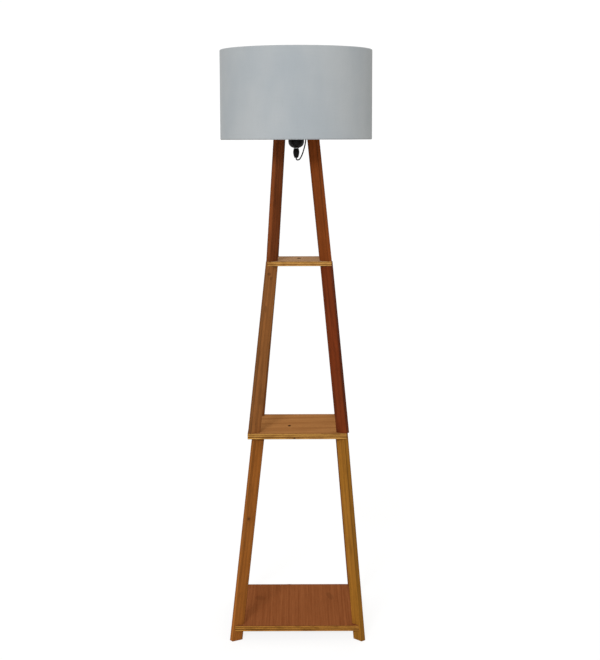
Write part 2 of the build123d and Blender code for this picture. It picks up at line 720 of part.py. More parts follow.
def make_switch():
    """Two shells screwed together round a rocker on stub pins."""
    place = Pos(SWITCH_X, SWITCH_Y, 0)
    body = switch_body()
    cavity = Pos(0, 0, SWITCH_WALL) * extrude(RectangleRounded(46, 18, 4), SWITCH_HEIGHT - 2 * SWITCH_WALL)
    window = Pos(0, 0, SWITCH_HEIGHT) * Box(2 * ROCKER_SWEEP - 0.8, ROCKER_WIDTH + 0.6, 6)
    split = Pos(0, 0, SWITCH_SPLIT / 2) * Box(90, 40, SWITCH_SPLIT)
    screws = []
    recess = []
    for x, y in ((-26.5, 5), (26.5, -5)):
        head = extrude(Circle(2.2), 1.6)
        screws.append(Pos(x, y, 0.9) * (head + extrude(Circle(1.2), 10)))
        recess.append(Pos(x, y, 0) * extrude(Circle(2.2), 1))
    cover = (body - split) - cavity - window - screws
    lug_high = SWITCH_HEIGHT - SWITCH_WALL + 0.2
    lug = Box(6, 2.4, lug_high - SWITCH_SPLIT)
    for side in (-1, 1):
        cover += Pos(0, side * (ROCKER_WIDTH / 2 + 1.5), (SWITCH_SPLIT + lug_high) / 2) * lug
    bearing = Pos(0, 0, ROCKER_PIVOT) * extrude(Plane.XZ * Circle(1.25), ROCKER_WIDTH / 2 + 2.6, both=True)
    cover -= bearing
    strips = []
    for side in (-1, 1):
        strips.append(Pos(side * 9, 0, SWITCH_WALL + 0.4) * Box(13, 5, 0.8))
    reliefs = []
    corners = [(0, 0), (4.6, 0), (4.2, 1.5), (2.5, RELIEF_LENGTH), (0, RELIEF_LENGTH)]
    sleeve = turned(*Polyline(*corners, close=True).edges())
    for turn in (0, 180):
        end = Plane((SWITCH_LENGTH / 2, 0, SWITCH_SPLIT), z_dir=(1, 0, 0))
        reliefs.append(place * (Rot(0, 0, turn) * (end * sleeve)))
    parts["switch_base"] = place * ((body & split) - cavity - screws - recess)
    parts["switch_cover"] = place * cover
    parts["switch_rocker"] = place * (Pos(0, 0, ROCKER_PIVOT) * (Rot(0, ROCKER_TILT, 0) * rocker()))
    parts["switch_contacts"] = Compound([place * strip for strip in strips])
    parts["switch_screws"] = Compound([place * screw for screw in screws])
    parts["switch_reliefs"] = Compound(reliefs)


# ---------- plug ----------
def plug_relief():
    """A tapered strain relief with a few grooves."""
    grooves = 5
    wide = 4.4
    narrow = 2.6
    points = [(0, 0), (narrow, 0)]
    for groove in range(grooves):
        along = 2 + groove * 3.6
        radius = narrow + (wide - narrow) * along / PLUG_RELIEF
        points += [(radius, along), (radius - 0.8, along + 0.5)]
        points += [(radius - 0.8, along + 1.5), (radius + 0.2, along + 2)]
    points += [(wide, PLUG_RELIEF), (0, PLUG_RELIEF)]
    return turned(*Polyline(*points, close=True).edges())


def make_plug():
    """A slim two-pin plug lying flat on the floor."""
    place = Plane((PLUG_X, PLUG_Y, PLUG_Z), x_dir=(0, 1, 0), z_dir=(-1, 0, 0))
    body = loft([
        Pos(0, 0, PLUG_RELIEF) * RectangleRounded(13, 12, 4),
        Pos(0, 0, PLUG_RELIEF + 10) * RectangleRounded(23, 14, 5),
        Pos(0, 0, PLUG_RELIEF + PLUG_BODY) * RectangleRounded(27, 14, 5),
    ], ruled=True)
    face = PLUG_RELIEF + PLUG_BODY
    pins = []
    sleeves = []
    tip = PIN_LENGTH - 1
    corners = [(0, 0), (1.5, 0), (1.5, 10), (2, 10), (2, tip), (1, PIN_LENGTH), (0, PIN_LENGTH)]
    pin = turned(*Polyline(*corners, close=True).edges())
    for side in (-1, 1):
        pins.append(place * (Pos(side * PIN_SPACING / 2, 0, face) * pin))
        sleeves.append(place * (Pos(side * PIN_SPACING / 2, 0, face) * turned_ring(1.5, 2, 0, 10)))
    parts["plug_relief"] = place * plug_relief()
    parts["plug_body"] = place * body
    parts["plug_pins"] = Compound(pins)
    parts["plug_pin_sleeves"] = Compound(sleeves)


make_tower()
make_shade()
make_lampholder()
make_bulb()
make_cord()
make_switch()
make_plug()

os.makedirs("parts", exist_ok=True)
for node, solid in parts.items():
    export_step(solid, f"parts/{node}.step")
print(len(parts), "nodes")
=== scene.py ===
# %% [markdown]
# # A shelf floor lamp
# A tapering tower of twelve flat wooden legs carries three square plywood shelves and a drum shade of
# pale cloth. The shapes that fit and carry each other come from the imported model. This lesson dresses
# them: it gives each wood its own grain and colour, weaves the cloth, lays the cord as one smooth line,
# cuts the screw threads, and lights the lamp the way a plain studio would.
# Everything is in metres. X is to the right, Y to the back, Z up, and the floor is at zero.

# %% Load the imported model
from math import atan2, cos, degrees, pi, radians, sin, tau

import bmesh
import bpy
from mathutils import Euler, Matrix, Vector


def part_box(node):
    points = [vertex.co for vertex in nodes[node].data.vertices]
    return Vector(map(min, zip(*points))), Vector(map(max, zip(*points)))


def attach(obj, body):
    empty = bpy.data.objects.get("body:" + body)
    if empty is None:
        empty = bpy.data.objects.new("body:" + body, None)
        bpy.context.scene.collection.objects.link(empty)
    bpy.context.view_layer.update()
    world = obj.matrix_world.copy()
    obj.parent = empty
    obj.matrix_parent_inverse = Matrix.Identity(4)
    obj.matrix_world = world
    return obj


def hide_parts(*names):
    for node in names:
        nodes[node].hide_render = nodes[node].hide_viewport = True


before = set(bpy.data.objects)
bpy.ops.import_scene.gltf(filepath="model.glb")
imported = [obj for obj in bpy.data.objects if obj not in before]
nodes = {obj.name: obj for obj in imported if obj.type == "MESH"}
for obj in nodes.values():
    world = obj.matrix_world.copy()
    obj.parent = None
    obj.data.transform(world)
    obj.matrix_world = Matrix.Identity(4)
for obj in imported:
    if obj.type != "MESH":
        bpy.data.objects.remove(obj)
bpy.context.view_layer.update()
MM = 0.001

# %% [markdown]
# ## The camera
# The photograph was taken from about the height of the shade's lower edge, looking slightly down. Its
# place was worked out from the edges of the shelves and legs. A long lens keeps the tower's lines
# nearly straight. The picture is 600 by 660, so the lens is worked out from the taller side.

# %% Place the camera
PICTURE_HEIGHT = 660
LENS_IN_PIXELS = 1374
SENSOR_SIDE = 36
MIDDLE_OFF_CENTRE = 2.7
CAMERA_PLACE = Vector((0.0013, -3.610, 1.2932))
CAMERA_PITCH = 0.1372
CAMERA_ROLL = -0.0032

camera_data = bpy.data.cameras.new("studio_camera")
camera_data.sensor_width = SENSOR_SIDE
camera_data.lens = SENSOR_SIDE * LENS_IN_PIXELS / PICTURE_HEIGHT
camera_data.shift_x = MIDDLE_OFF_CENTRE / PICTURE_HEIGHT
camera = bpy.data.objects.new("studio_camera", camera_data)
camera.location = CAMERA_PLACE
facing = Euler((pi / 2 - CAMERA_PITCH, 0, 0)).to_matrix() @ Matrix.Rotation(CAMERA_ROLL, 3, "Z")
camera.rotation_euler = facing.to_euler()
bpy.context.scene.collection.objects.link(camera)
bpy.context.scene.camera = camera
bpy.context.scene.view_settings.view_transform = "Standard"
print("lens", round(camera_data.lens, 1), "mm")

# %% [markdown]
# ## Small helpers for materials
# A material is a small graph. These helpers add a node and fill its sockets in one line, so that the
# recipes further down read like recipes. A socket takes a plain value, or what another socket gives.

# %% Nodes and their sockets
def new_material(name):
    """A material with its graph and its shader."""
    material = bpy.data.materials.new(name)
    material.use_nodes = True
    graph = material.node_tree
    return material, graph, graph.nodes["Principled BSDF"]


def feed(graph, node, inputs):
    """Fills a node's sockets, each with a value or with what another socket gives."""
    for key, value in inputs.items():
        if isinstance(value, bpy.types.NodeSocket):
            graph.links.new(value, node.inputs[key])
        else:
            node.inputs[key].default_value = value


def add(graph, kind, inputs=None, **settings):
    """A shader node of a kind, with its settings and its inputs."""
    node = graph.nodes.new("ShaderNode" + kind)
    for key, value in settings.items():
        setattr(node, key, value)
    feed(graph, node, inputs or {})
    return node


def own_place(graph):
    """The object's own coordinates, in metres."""
    return add(graph, "TexCoord").outputs["Object"]


def mapped(graph, vector, kind="POINT", **inputs):
    """A place put through a Mapping node. POINT changes the place, TEXTURE moves the pattern."""
    return add(graph, "Mapping", {"Vector": vector, **inputs}, vector_type=kind).outputs[0]


def axes(graph, vector):
    """A vector's three numbers, each as a socket."""
    return add(graph, "SeparateXYZ", {0: vector}).outputs


helpers = (new_material, feed, add, own_place, mapped, axes)
print("helpers:", ", ".join(helper.__name__ for helper in helpers))

# %% Sums, colours, noise and relief
# the sockets of a Mix node that mixes colours
MIX_SHARE, MIX_FIRST, MIX_SECOND = 0, 6, 7
WHITE = (1, 1, 1, 1)


def calc(graph, operation, first, second=0.0):
    """One sum on numbers."""
    return add(graph, "Math", {0: first, 1: second}, operation=operation).outputs[0]


def blend(graph, share, first, second):
    """Two colours, mixed by a share."""
    inputs = {MIX_SHARE: share, MIX_FIRST: first, MIX_SECOND: second}
    return add(graph, "Mix", inputs, data_type="RGBA", clamp_factor=True).outputs[2]


def remap(graph, value, low, high, to_low=0.0, to_high=1.0, smooth=True):
    """A number taken from one span to another, eased at both ends where it is to be smooth."""
    inputs = {"Value": value, "From Min": low, "From Max": high, "To Min": to_low, "To Max": to_high}
    kind = "SMOOTHSTEP" if smooth else "LINEAR"
    return add(graph, "MapRange", inputs, interpolation_type=kind).outputs["Result"]


def noise(graph, vector, scale, detail=3.0, roughness=0.55):
    """Soft cloudy noise, 0 to 1."""
    inputs = {"Vector": vector, "Scale": scale, "Detail": detail, "Roughness": roughness}
    return add(graph, "TexNoise", inputs).outputs["Fac"]


def spread(graph, pattern, to_low=0.0, to_high=1.0):
    """Noise, most of which lies between 0.3 and 0.7, stretched to fill a span."""
    return remap(graph, pattern, 0.3, 0.7, to_low, to_high)


def bump(graph, height, depth, strength):
    """Surface relief from a height of 0 to 1, as deep as depth metres."""
    inputs = {"Height": height, "Distance": depth, "Strength": strength}
    return add(graph, "Bump", inputs).outputs["Normal"]


def linear(red, green, blue):
    """A colour as a paint chart gives it, 0 to 255, as the light that a shader works with."""
    shares = [value / 255 for value in (red, green, blue)]
    light = [s / 12.92 if s <= 0.04045 else ((s + 0.055) / 1.055) ** 2.4 for s in shares]
    return (*light, 1.0)


print("mid grey of a paint chart is", round(linear(128, 128, 128)[0], 3), "as light")

# %% [markdown]
# ## The cord
# The lamp has about three metres of thin black cord. It leaves the lampholder's grip pointing down,
# turns up at once in a small loop, goes over the inner side of the rear right leg and is clipped down
# that leg's back. At the floor it is free again: it runs through a hand switch, then lies in a tied
# coil of six turns behind the base shelf, and ends in a slim two-pin plug.
# A cord is a smooth curve, so each free stretch is one NURBS spline with listed points. The coil's
# points come from a loop: in on the lower layer, up, and out again on the upper one.

# %% A cord from its points
CORD_DIAMETER = 3.4 * MM
CORD_SMOOTHNESS = 6
CORD_ROUNDNESS = 4


def in_metres(route):
    """The points of a route that is written in millimetres."""
    return [Vector(point) * MM for point in route]


def cord_curve(name, points, radius=CORD_DIAMETER / 2):
    """A round cord whose middle line is a smooth spline led by the points."""
    curve = bpy.data.curves.new(name, "CURVE")
    curve.dimensions = "3D"
    spline = curve.splines.new("NURBS")
    spline.points.add(len(points) - 1)
    for knot, point in zip(spline.points, points):
        knot.co = (*point, 1)
        # the points carry the thickness, because a curve's box reaches out by its points' radius
        knot.radius = radius
    spline.order_u = 3
    spline.use_endpoint_u = True
    spline.resolution_u = CORD_SMOOTHNESS
    curve.bevel_depth = 1.0
    curve.bevel_resolution = CORD_ROUNDNESS
    curve.use_fill_caps = True
    cord = bpy.data.objects.new(name, curve)
    bpy.context.scene.collection.objects.link(cord)
    return cord


print("the cord is", round(CORD_DIAMETER / MM, 1), "mm thick")

# %% Routes in millimetres
LOOP_ROUTE = [
    (0, 0, 1248),
    (0, 0, 1244),
    (3.6, 0.2, 1241.9),
    (8.6, 1.0, 1244),
    (12.5, 2.0, 1249.6),
    (16.6, 3.4, 1259),
    (20.4, 5.4, 1271.5),
    (23.6, 8.6, 1283.5),
    (25.0, 15, 1293.4),
    (24.2, 24, 1299.2),
    (22.8, 34.5, 1300.8),
    (23.8, 45.5, 1300.4),
    (28.0, 54.5, 1298.6),
    (33.6, 59.2, 1291.5),
    (38.0, 57.2, 1282.5),
    (40.05, 52.14, 1274),
    (41.05, 52.96, 1264),
]
SWITCH_LEAD_ROUTE = [
    (147.62, 159.06, 85),
    (148.40, 159.98, 75.5),
    (148.6, 164.5, 66),
    (148.3, 170.8, 56.5),
    (147.8, 175.6, 45.5),
    (147.2, 178.0, 33),
    (146.0, 180.6, 20.5),
    (143.6, 184.8, 10),
    (139.4, 189.4, 3.6),
    (132.2, 192.4, 1.75),
    (123.6, 193.2, 1.8),
    (117.2, 192.3, 4.4),
    (112, 192, 6),
    (107, 192, 6),
]
COIL_LEAD_ROUTE = [
    (29, 192, 6),
    (24, 192, 6),
    (17.5, 192.2, 4.4),
    (9.5, 192.8, 2.2),
    (0.5, 193.2, 1.75),
    (-8.1, 193.3, 2.1),
    (-15, 193.15, 1.9),
    (-21.6, 193.15, 1.9),
]
PLUG_LEAD_ROUTE = [
    (-28.4, 191.1, 5.6),
    (-36.5, 191.1, 5.6),
    (-46, 192.3, 4.0),
    (-56, 195.6, 2.1),
    (-66.5, 199.9, 1.75),
    (-77, 204.6, 2.6),
    (-85, 207.6, 5.4),
    (-91, 208, 7),
    (-97, 208, 7),
]
print(len(LOOP_ROUTE), "points lead the loop under the lampholder")

# %% The coil's turns
COIL_MIDDLE = Vector((-25, 231.4, 0)) * MM
COIL_INNER_RADIUS = 28 * MM
COIL_PITCH = 4.1 * MM
COIL_TURNS_IN = 2.5
COIL_TURNS_OUT = 3
COIL_CLIMB_TURN = 0.5
COIL_CLIMB_TUCK = 1.3 * MM
COIL_LAYERS = (1.9 * MM, 5.6 * MM)
POINTS_PER_TURN = 20
# a spline runs a little inside its points, so they stand that much further out
POINT_OUTSET = 1 / cos(pi / POINTS_PER_TURN)


def coil_point(turn):
    """The cord's middle after so many turns from the coil's start."""
    climb = min(max((turn - COIL_TURNS_IN) / COIL_CLIMB_TURN, 0), 1)
    inward = max(COIL_TURNS_IN - turn, 0)
    outward = max(turn - COIL_TURNS_IN - COIL_CLIMB_TURN, 0)
    radius = COIL_INNER_RADIUS + (inward + outward) * COIL_PITCH - COIL_CLIMB_TUCK * sin(pi * climb)
    low, high = COIL_LAYERS
    height = low + (high - low) * (climb * climb * (3 - 2 * climb))
    angle = -pi / 2 - turn * tau
    out = Vector((cos(angle), sin(angle), 0))
    return COIL_MIDDLE + out * (radius * POINT_OUTSET) + Vector((0, 0, height))


coil_turns = COIL_TURNS_IN + COIL_CLIMB_TURN + COIL_TURNS_OUT
coil_steps = int(coil_turns * POINTS_PER_TURN)
coil_points = [coil_point(step / POINTS_PER_TURN) for step in range(1, coil_steps)]
print(len(coil_points), "points in", coil_turns, "turns")

# %% Lay both free cords
loop_cord = cord_curve("loop_cord", in_metres(LOOP_ROUTE))
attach(loop_cord, "stand")
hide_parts("cord_loop")

floor_points = in_metres(SWITCH_LEAD_ROUTE + COIL_LEAD_ROUTE) + coil_points + in_metres(PLUG_LEAD_ROUTE)
floor_cord = cord_curve("floor_cord", floor_points)
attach(floor_cord, "stand")
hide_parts("cord_switch_lead", "cord_coil_lead", "cord_coil", "cord_plug_lead")
print("free cord on the floor follows", len(floor_points), "points")

# %% [markdown]
# ## The studio
# The floor and the air round the lamp are plain white in the picture. The floor keeps a soft shadow:
# for the camera it is mostly its own white with a little of the light that falls on it, and for
# everything else it is a pale surface that throws light back up. The lamps are two broad suns, the
# stronger one from the front, a little to the left, and the sky fills the shadows. A sun lights near
# and far alike, so a colour comes out about as it is written, from the foot of the lamp to its top.

# %% White for the camera, and the floor
FLOOR_SIDE = 60
FLOOR_DROP = 0.2 * MM
FLOOR_PAINT = (0.75, 0.75, 0.75, 1)
SHADOW_PART = (0.2, 0.2, 0.2, 1)
OWN_WHITE = 0.86


def seen_or_mirrored(graph):
    """One for what the camera sees straight, in a gloss or through glass, and zero for other light."""
    rays = add(graph, "LightPath").outputs
    seen = calc(graph, "ADD", rays["Is Camera Ray"], rays["Is Glossy Ray"])
    return calc(graph, "MINIMUM", calc(graph, "ADD", seen, rays["Is Transmission Ray"]), 1.0)


def studio_floor():
    """A plane just under the feet, white where it is seen, with the lamp's shadow on it."""
    bpy.ops.mesh.primitive_plane_add(size=FLOOR_SIDE)
    floor = bpy.context.object
    floor.name = "studio_floor"
    floor.location.z = -FLOOR_DROP
    material, graph, shader = new_material("studio_white")
    feed(graph, shader, {"Base Color": FLOOR_PAINT, "Roughness": 0.9, "Specular IOR Level": 0.0})
    shadow_part = add(graph, "BsdfDiffuse", {"Color": SHADOW_PART})
    white_part = add(graph, "Emission", {"Color": WHITE, "Strength": OWN_WHITE})
    shown = add(graph, "AddShader", {0: shadow_part.outputs[0], 1: white_part.outputs[0]})
    mixed = add(graph, "MixShader", {0: seen_or_mirrored(graph), 1: shader.outputs[0], 2: shown.outputs[0]})
    feed(graph, graph.nodes["Material Output"], {"Surface": mixed.outputs[0]})
    floor.data.materials.append(material)


studio_floor()
print("floor of", FLOOR_SIDE, "by", FLOOR_SIDE, "metres")

# %% The sky and two suns
SKY_WHITE = 1.03
SKY_FILL = 0.54
SKY_FILL_COLOUR = (1, 0.965, 0.90, 1)


def studio_sky():
    """White where it is seen, and dimmer and a little warm for the light it gives."""
    world = bpy.data.worlds.new("studio_sky")
    bpy.context.scene.world = world
    world.use_nodes = True
    graph = world.node_tree
    seen = seen_or_mirrored(graph)
    strength = calc(graph, "ADD", calc(graph, "MULTIPLY", seen, SKY_WHITE - SKY_FILL), SKY_FILL)
    feed(graph, graph.nodes["Background"], {
        "Color": blend(graph, seen, SKY_FILL_COLOUR, WHITE),
        "Strength": strength,
    })


def sun(name, azimuth, elevation, strength, spread, colour):
    """A broad sun that shines from a side, in degrees from straight ahead to the right, and a height."""
    lamp = bpy.data.lights.new(name, "SUN")
    lamp.energy = strength
    lamp.color = colour
    lamp.angle = radians(spread)
    holder = bpy.data.objects.new(name, lamp)
    side, up = radians(azimuth), radians(elevation)
    back = Vector((sin(side) * cos(up), -cos(side) * cos(up), sin(up)))
    holder.rotation_euler = back.to_track_quat("Z", "Y").to_euler()
    bpy.context.scene.collection.objects.link(holder)


studio_sky()
sun("key_sun", azimuth=-14, elevation=24, strength=1.5, spread=14, colour=(0.95, 1.0, 1.07))
sun("back_sun", azimuth=165, elevation=35, strength=0.6, spread=40, colour=(1, 1, 1))
print("two suns and a sky that fills with", SKY_FILL)

# %% [markdown]
# ## Wood
# Wood looks like wood because of three things at three sizes: broad bands where the board was cut
# through the tree's rings, fine fibres a millimetre wide and very long, and short dark pores. All three
# run along the board. So each board gets its own coordinates, whose Z runs along its grain, and the
# noise is squeezed across and stretched along that Z.

# %% Rings, fibres and pores
# how often a noise changes in a metre, across the grain and along it
BEND_SCALE = (30, 4)
FIBRE_SCALE = (900, 16)
STREAK_SCALE = (210, 2.6)
PORE_SCALE = (2600, 120)
# the rings lie at a slant in the board, and each is dark only near its late side
RING_SLANT = 0.45
LATE_WOOD = 1.8


def long_noise(graph, board, scale, seed, detail=3.0, roughness=0.6):
    """Noise squeezed across the grain and stretched along it."""
    across, along = scale
    shift = (seed, 2.3 * seed, 0.7 * seed)
    squeezed = mapped(graph, board, Location=shift, Scale=(across, across, along))
    return noise(graph, squeezed, 1.0, detail, roughness)


def wood_grain(graph, board, seed, ring_width=5 * MM, wander=3.0):
    """Shares from 0 to 1 for rings, fibres, streaks and pores of wood whose grain is the board's Z."""
    bend = long_noise(graph, board, BEND_SCALE, seed, 2.0, 0.55)
    across, through = axes(graph, board)[:2]
    depth = calc(graph, "ADD", across, calc(graph, "MULTIPLY", through, RING_SLANT))
    straight = calc(graph, "DIVIDE", depth, ring_width)
    rings = calc(graph, "ADD", straight, calc(graph, "MULTIPLY", bend, wander))
    return {
        "rings": calc(graph, "POWER", calc(graph, "PINGPONG", rings, 1.0), LATE_WOOD),
        "fibres": long_noise(graph, board, FIBRE_SCALE, seed + 3),
        "streaks": long_noise(graph, board, STREAK_SCALE, seed + 7),
        "pores": remap(graph, long_noise(graph, board, PORE_SCALE, seed + 9, 1.0, 0.55), 0.63, 0.72),
    }


print("fibres are about", round(1 / FIBRE_SCALE[0] / MM, 1), "mm wide")

# %% The colour and surface of wood
PORE_DARK = (0.02, 0.008, 0.003, 1)
PORE_STRENGTH = 0.35
# the dark of stains, knots and end grain, and of the painted shade at the shelves' rims
STAIN_AND_SHADE_DARK = (0.03, 0.012, 0.005, 1)
GRAIN_DEPTH = 0.12 * MM


def wood_colour(graph, grain, dark, light, ring_share=0.3):
    """The colour of wood between a dark and a light tone."""
    rings = calc(graph, "MULTIPLY", grain["rings"], -ring_share)
    streaks = remap(graph, grain["streaks"], 0.28, 0.72, 0.0, 0.75, smooth=False)
    fibres = remap(graph, grain["fibres"], 0.3, 0.7, 0.0, 0.42, smooth=False)
    tone = calc(graph, "ADD", calc(graph, "ADD", rings, streaks), fibres)
    colour = blend(graph, remap(graph, tone, -0.25, 1.1, smooth=False), dark, light)
    return blend(graph, calc(graph, "MULTIPLY", grain["pores"], PORE_STRENGTH), colour, PORE_DARK)


def finish_wood(graph, shader, colour, grain, roughness=0.58, gloss=0.03):
    """A thin dull varnish over open grain."""
    fibres = grain["fibres"]
    relief = calc(graph, "SUBTRACT", calc(graph, "MULTIPLY", fibres, 0.6), grain["pores"])
    feed(graph, shader, {
        "Base Color": colour,
        "Roughness": remap(graph, fibres, 0.2, 0.8, roughness - 0.07, roughness + 0.1),
        "Specular IOR Level": gloss,
        "Normal": bump(graph, relief, GRAIN_DEPTH, 0.7),
    })


print("the grain's relief is", round(GRAIN_DEPTH / MM, 2), "mm")

# %% [markdown]
# ## Knots and stains
# The photograph shows a knot on one leg, one on each upper shelf and one on an edge, and a few soft
# stains. A mark is an oval in space with a soft rim. A Mapping node turns it into a ball of radius one,
# so its distance from the middle says how dark a point is.

# %% Dark marks
# how far from an oval's middle a mark ends and is full, in shares of its half sizes
MARK_END = 1.25
MARK_FULL = 0.75


def spot(graph, place, middle, halves, turn):
    """One inside a small oval, fading outside, from its half sizes and its turn about Z in degrees."""
    centred = mapped(graph, place, "TEXTURE", Location=middle, Rotation=(0, 0, radians(turn)), Scale=halves)
    reach = add(graph, "VectorMath", {0: centred}, operation="LENGTH").outputs["Value"]
    return remap(graph, reach, MARK_END, MARK_FULL)


def with_marks(graph, colour, place, marks):
    """A colour with marks, each from its middle, half sizes in millimetres, turn and strength."""
    for middle, halves, turn, strength in marks:
        oval = spot(graph, place, middle, [half * MM for half in halves], turn)
        colour = blend(graph, calc(graph, "MULTIPLY", oval, strength), colour, STAIN_AND_SHADE_DARK)
    return colour


print("a mark fades out over", MARK_END - MARK_FULL, "of its half size")

# %% [markdown]
# ## The legs
# Each leg leans in two directions, so its grain does too. Its own frame is read off the model: its long
# edges give the lean, and the long way of its foot's outline gives its wide face. In that frame the
# arrises are known as well, so painted shade can be laid along them. No two legs came from the same plank:
# the photograph shows red ones, brown ones and one golden one.

# %% A leg's own frame
# an edge this long runs along the leg, a corner this near the lowest is on the foot's outline, and a
# corner this near the outline's middle says nothing about its long way
LONG_EDGE = 200 * MM
FOOT_BAND = 0.05 * MM
FOOT_MIDDLE = 10 * MM


def leg_frame(node):
    """The middle of a leg's foot, and its directions across, through and along."""
    mesh = nodes[node].data
    corners = [vertex.co for vertex in mesh.vertices]
    ways = [corners[edge.vertices[1]] - corners[edge.vertices[0]] for edge in mesh.edges]
    long_ways = [way if way.z > 0 else -way for way in ways if way.length > LONG_EDGE]
    along = sum(long_ways, Vector()).normalized()
    foot_level = min(corner.z for corner in corners)
    foot = [corner for corner in corners if corner.z < foot_level + FOOT_BAND]
    start = Vector([(min(c[axis] for c in foot) + max(c[axis] for c in foot)) / 2 for axis in range(3)])
    outline = [corner - start for corner in foot if (corner - start).length > FOOT_MIDDLE]
    spread_x, spread_y = sum(c.x ** 2 for c in outline), sum(c.y ** 2 for c in outline)
    turn = atan2(2 * sum(c.x * c.y for c in outline), spread_x - spread_y) / 2
    through = along.cross(Vector((cos(turn), sin(turn), 0))).normalized()
    return start, through.cross(along), through, along


def leg_place(graph, node, place):
    """Leg coordinates: X across the wide face, Y through the leg, Z up along the grain."""
    start, *directions = leg_frame(node)
    lean = Matrix(directions).transposed().to_euler()
    return mapped(graph, place, "TEXTURE", Location=start, Rotation=lean)


upward = leg_frame("lower_leg_front_left")[3]
print("a lower leg leans", round(degrees(upward.angle(Vector((0, 0, 1)))), 1), "degrees")

# %% Where a leg's faces and arrises are
LEG_HALF_WIDTH = 15.25 * MM
LEG_HALF_THICK = 7 * MM
# how far inside an arris its painted shade starts and is full, and a narrow face's tone starts and is full
ARRIS_SHADE_START, ARRIS_SHADE_FULL = 2.6 * MM, 0.3 * MM
NARROW_START, NARROW_FULL = 0.9 * MM, 0.2 * MM


def near_side(graph, way, half, start, full, to_low=0.0, to_high=1.0):
    """A number that changes towards both sides of a board, from its distance from the middle."""
    off_middle = calc(graph, "ABSOLUTE", way)
    return remap(graph, off_middle, half - start, half - full, to_low, to_high)


def near_arris(graph, board):
    """One along a leg's four arrises, where their painted shade goes, fading within three millimetres."""
    across, through = axes(graph, board)[:2]
    side = near_side(graph, across, LEG_HALF_WIDTH, ARRIS_SHADE_START, ARRIS_SHADE_FULL)
    face = near_side(graph, through, LEG_HALF_THICK, ARRIS_SHADE_START, ARRIS_SHADE_FULL)
    return calc(graph, "MULTIPLY", side, face)


def narrow_faces(graph, board, narrow_tone):
    """One on a leg's wide faces and another tone on its narrow ones, with a soft start."""
    across = axes(graph, board)[0]
    return near_side(graph, across, LEG_HALF_WIDTH, NARROW_START, NARROW_FULL, 1.0, narrow_tone)


print("legs of", round(2 * LEG_HALF_WIDTH / MM, 1), "by", round(2 * LEG_HALF_THICK / MM, 1), "mm")

# %% The twelve legs' tones and marks
# node: middle tone of its wide faces, how much lighter its narrow faces are, seed
LEG_TONES = {
    "upper_leg_front_left": ((112, 58, 27), 1.35, 1.3),
    "upper_leg_front_right": ((122, 61, 24), 1.35, 4.1),
    "upper_leg_rear_left": ((106, 55, 25), 1.0, 7.7),
    "upper_leg_rear_right": ((106, 53, 22), 1.0, 9.2),
    "middle_leg_front_left": ((145, 92, 48), 0.7, 12.6),
    "middle_leg_front_right": ((109, 48, 21), 0.6, 15.9),
    "middle_leg_rear_left": ((128, 80, 40), 1.0, 18.4),
    "middle_leg_rear_right": ((118, 62, 28), 1.0, 21.8),
    "lower_leg_front_left": ((146, 87, 35), 1.24, 25.1),
    "lower_leg_front_right": ((158, 105, 37), 0.78, 28.3),
    "lower_leg_rear_left": ((132, 78, 34), 1.0, 31.7),
    "lower_leg_rear_right": ((134, 82, 36), 1.0, 34.2),
}
LEG_KNOT = (-0.126, -0.14, 0.3187)
# node: its marks, each a middle, half sizes in millimetres, a turn and a strength
LEG_MARKS = {
    "lower_leg_front_left": [
        (LEG_KNOT, (2.2, 4, 2.4), 0, 0.75),
        (LEG_KNOT, (5, 8, 7), 0, 0.3),
    ],
    "middle_leg_front_left": [
        ((-0.071, -0.080, 0.952), (5, 25, 4), 0, 0.4),
        ((-0.066, -0.080, 0.940), (3, 25, 5), 0, 0.35),
        ((-0.080, -0.090, 0.862), (3, 25, 9), 0, 0.25),
    ],
}
print(sum(len(marks) for marks in LEG_MARKS.values()), "marks on", len(LEG_MARKS), "legs")

# %% Stain the legs
GRAIN_CONTRAST = 0.36
PATCH_SCALE = (55, 11)
# tones of a leg's dark and pale patches and of the painted shade on its arrises, as factors of its middle
# tone
DARK_PATCH, PALE_PATCH, ARRIS_SHADE_TONE = 0.5, 1.4, 0.3


def scaled(colour, factor):
    """A colour made lighter or darker by a factor."""
    return (*[min(1.0, factor * part) for part in colour[:3]], 1.0)


def leg_wood(node, middle, narrow_tone, seed):
    """One leg's wood: its grain, its narrow faces' tone, patches, painted shade on its arrises and marks."""
    material, graph, shader = new_material(node + "_wood")
    place = own_place(graph)
    board = leg_place(graph, node, place)
    grain = wood_grain(graph, board, seed)
    tone = linear(*middle)
    colour = wood_colour(graph, grain, scaled(tone, 1 - GRAIN_CONTRAST), scaled(tone, 1 + GRAIN_CONTRAST))
    by_face = {0: colour, "Scale": narrow_faces(graph, board, narrow_tone)}
    colour = add(graph, "VectorMath", by_face, operation="SCALE").outputs[0]
    patchy = long_noise(graph, board, PATCH_SCALE, seed + 11, 4.0)
    colour = blend(graph, remap(graph, patchy, 0.5, 0.72, 0.0, 0.55), colour, scaled(tone, DARK_PATCH))
    colour = blend(graph, remap(graph, patchy, 0.46, 0.28, 0.0, 0.5), colour, scaled(tone, PALE_PATCH))
    # painted shade along the arrises, made uneven by the streaks
    uneven = spread(graph, grain["streaks"], 0.85, 0.2)
    arris_shade = calc(graph, "MULTIPLY", near_arris(graph, board), uneven)
    colour = blend(graph, arris_shade, colour, scaled(tone, ARRIS_SHADE_TONE))
    colour = with_marks(graph, colour, place, LEG_MARKS.get(node, ()))
    finish_wood(graph, shader, colour, grain)
    return material


def dress(node, material):
    """Gives a piece one material in all its slots."""
    mesh = nodes[node].data
    mesh.materials.clear()
    mesh.materials.append(material)


for leg, (middle, narrow_tone, seed) in LEG_TONES.items():
    dress(leg, leg_wood(leg, middle, narrow_tone, seed))
print(len(LEG_TONES), "legs, each with its own grain")
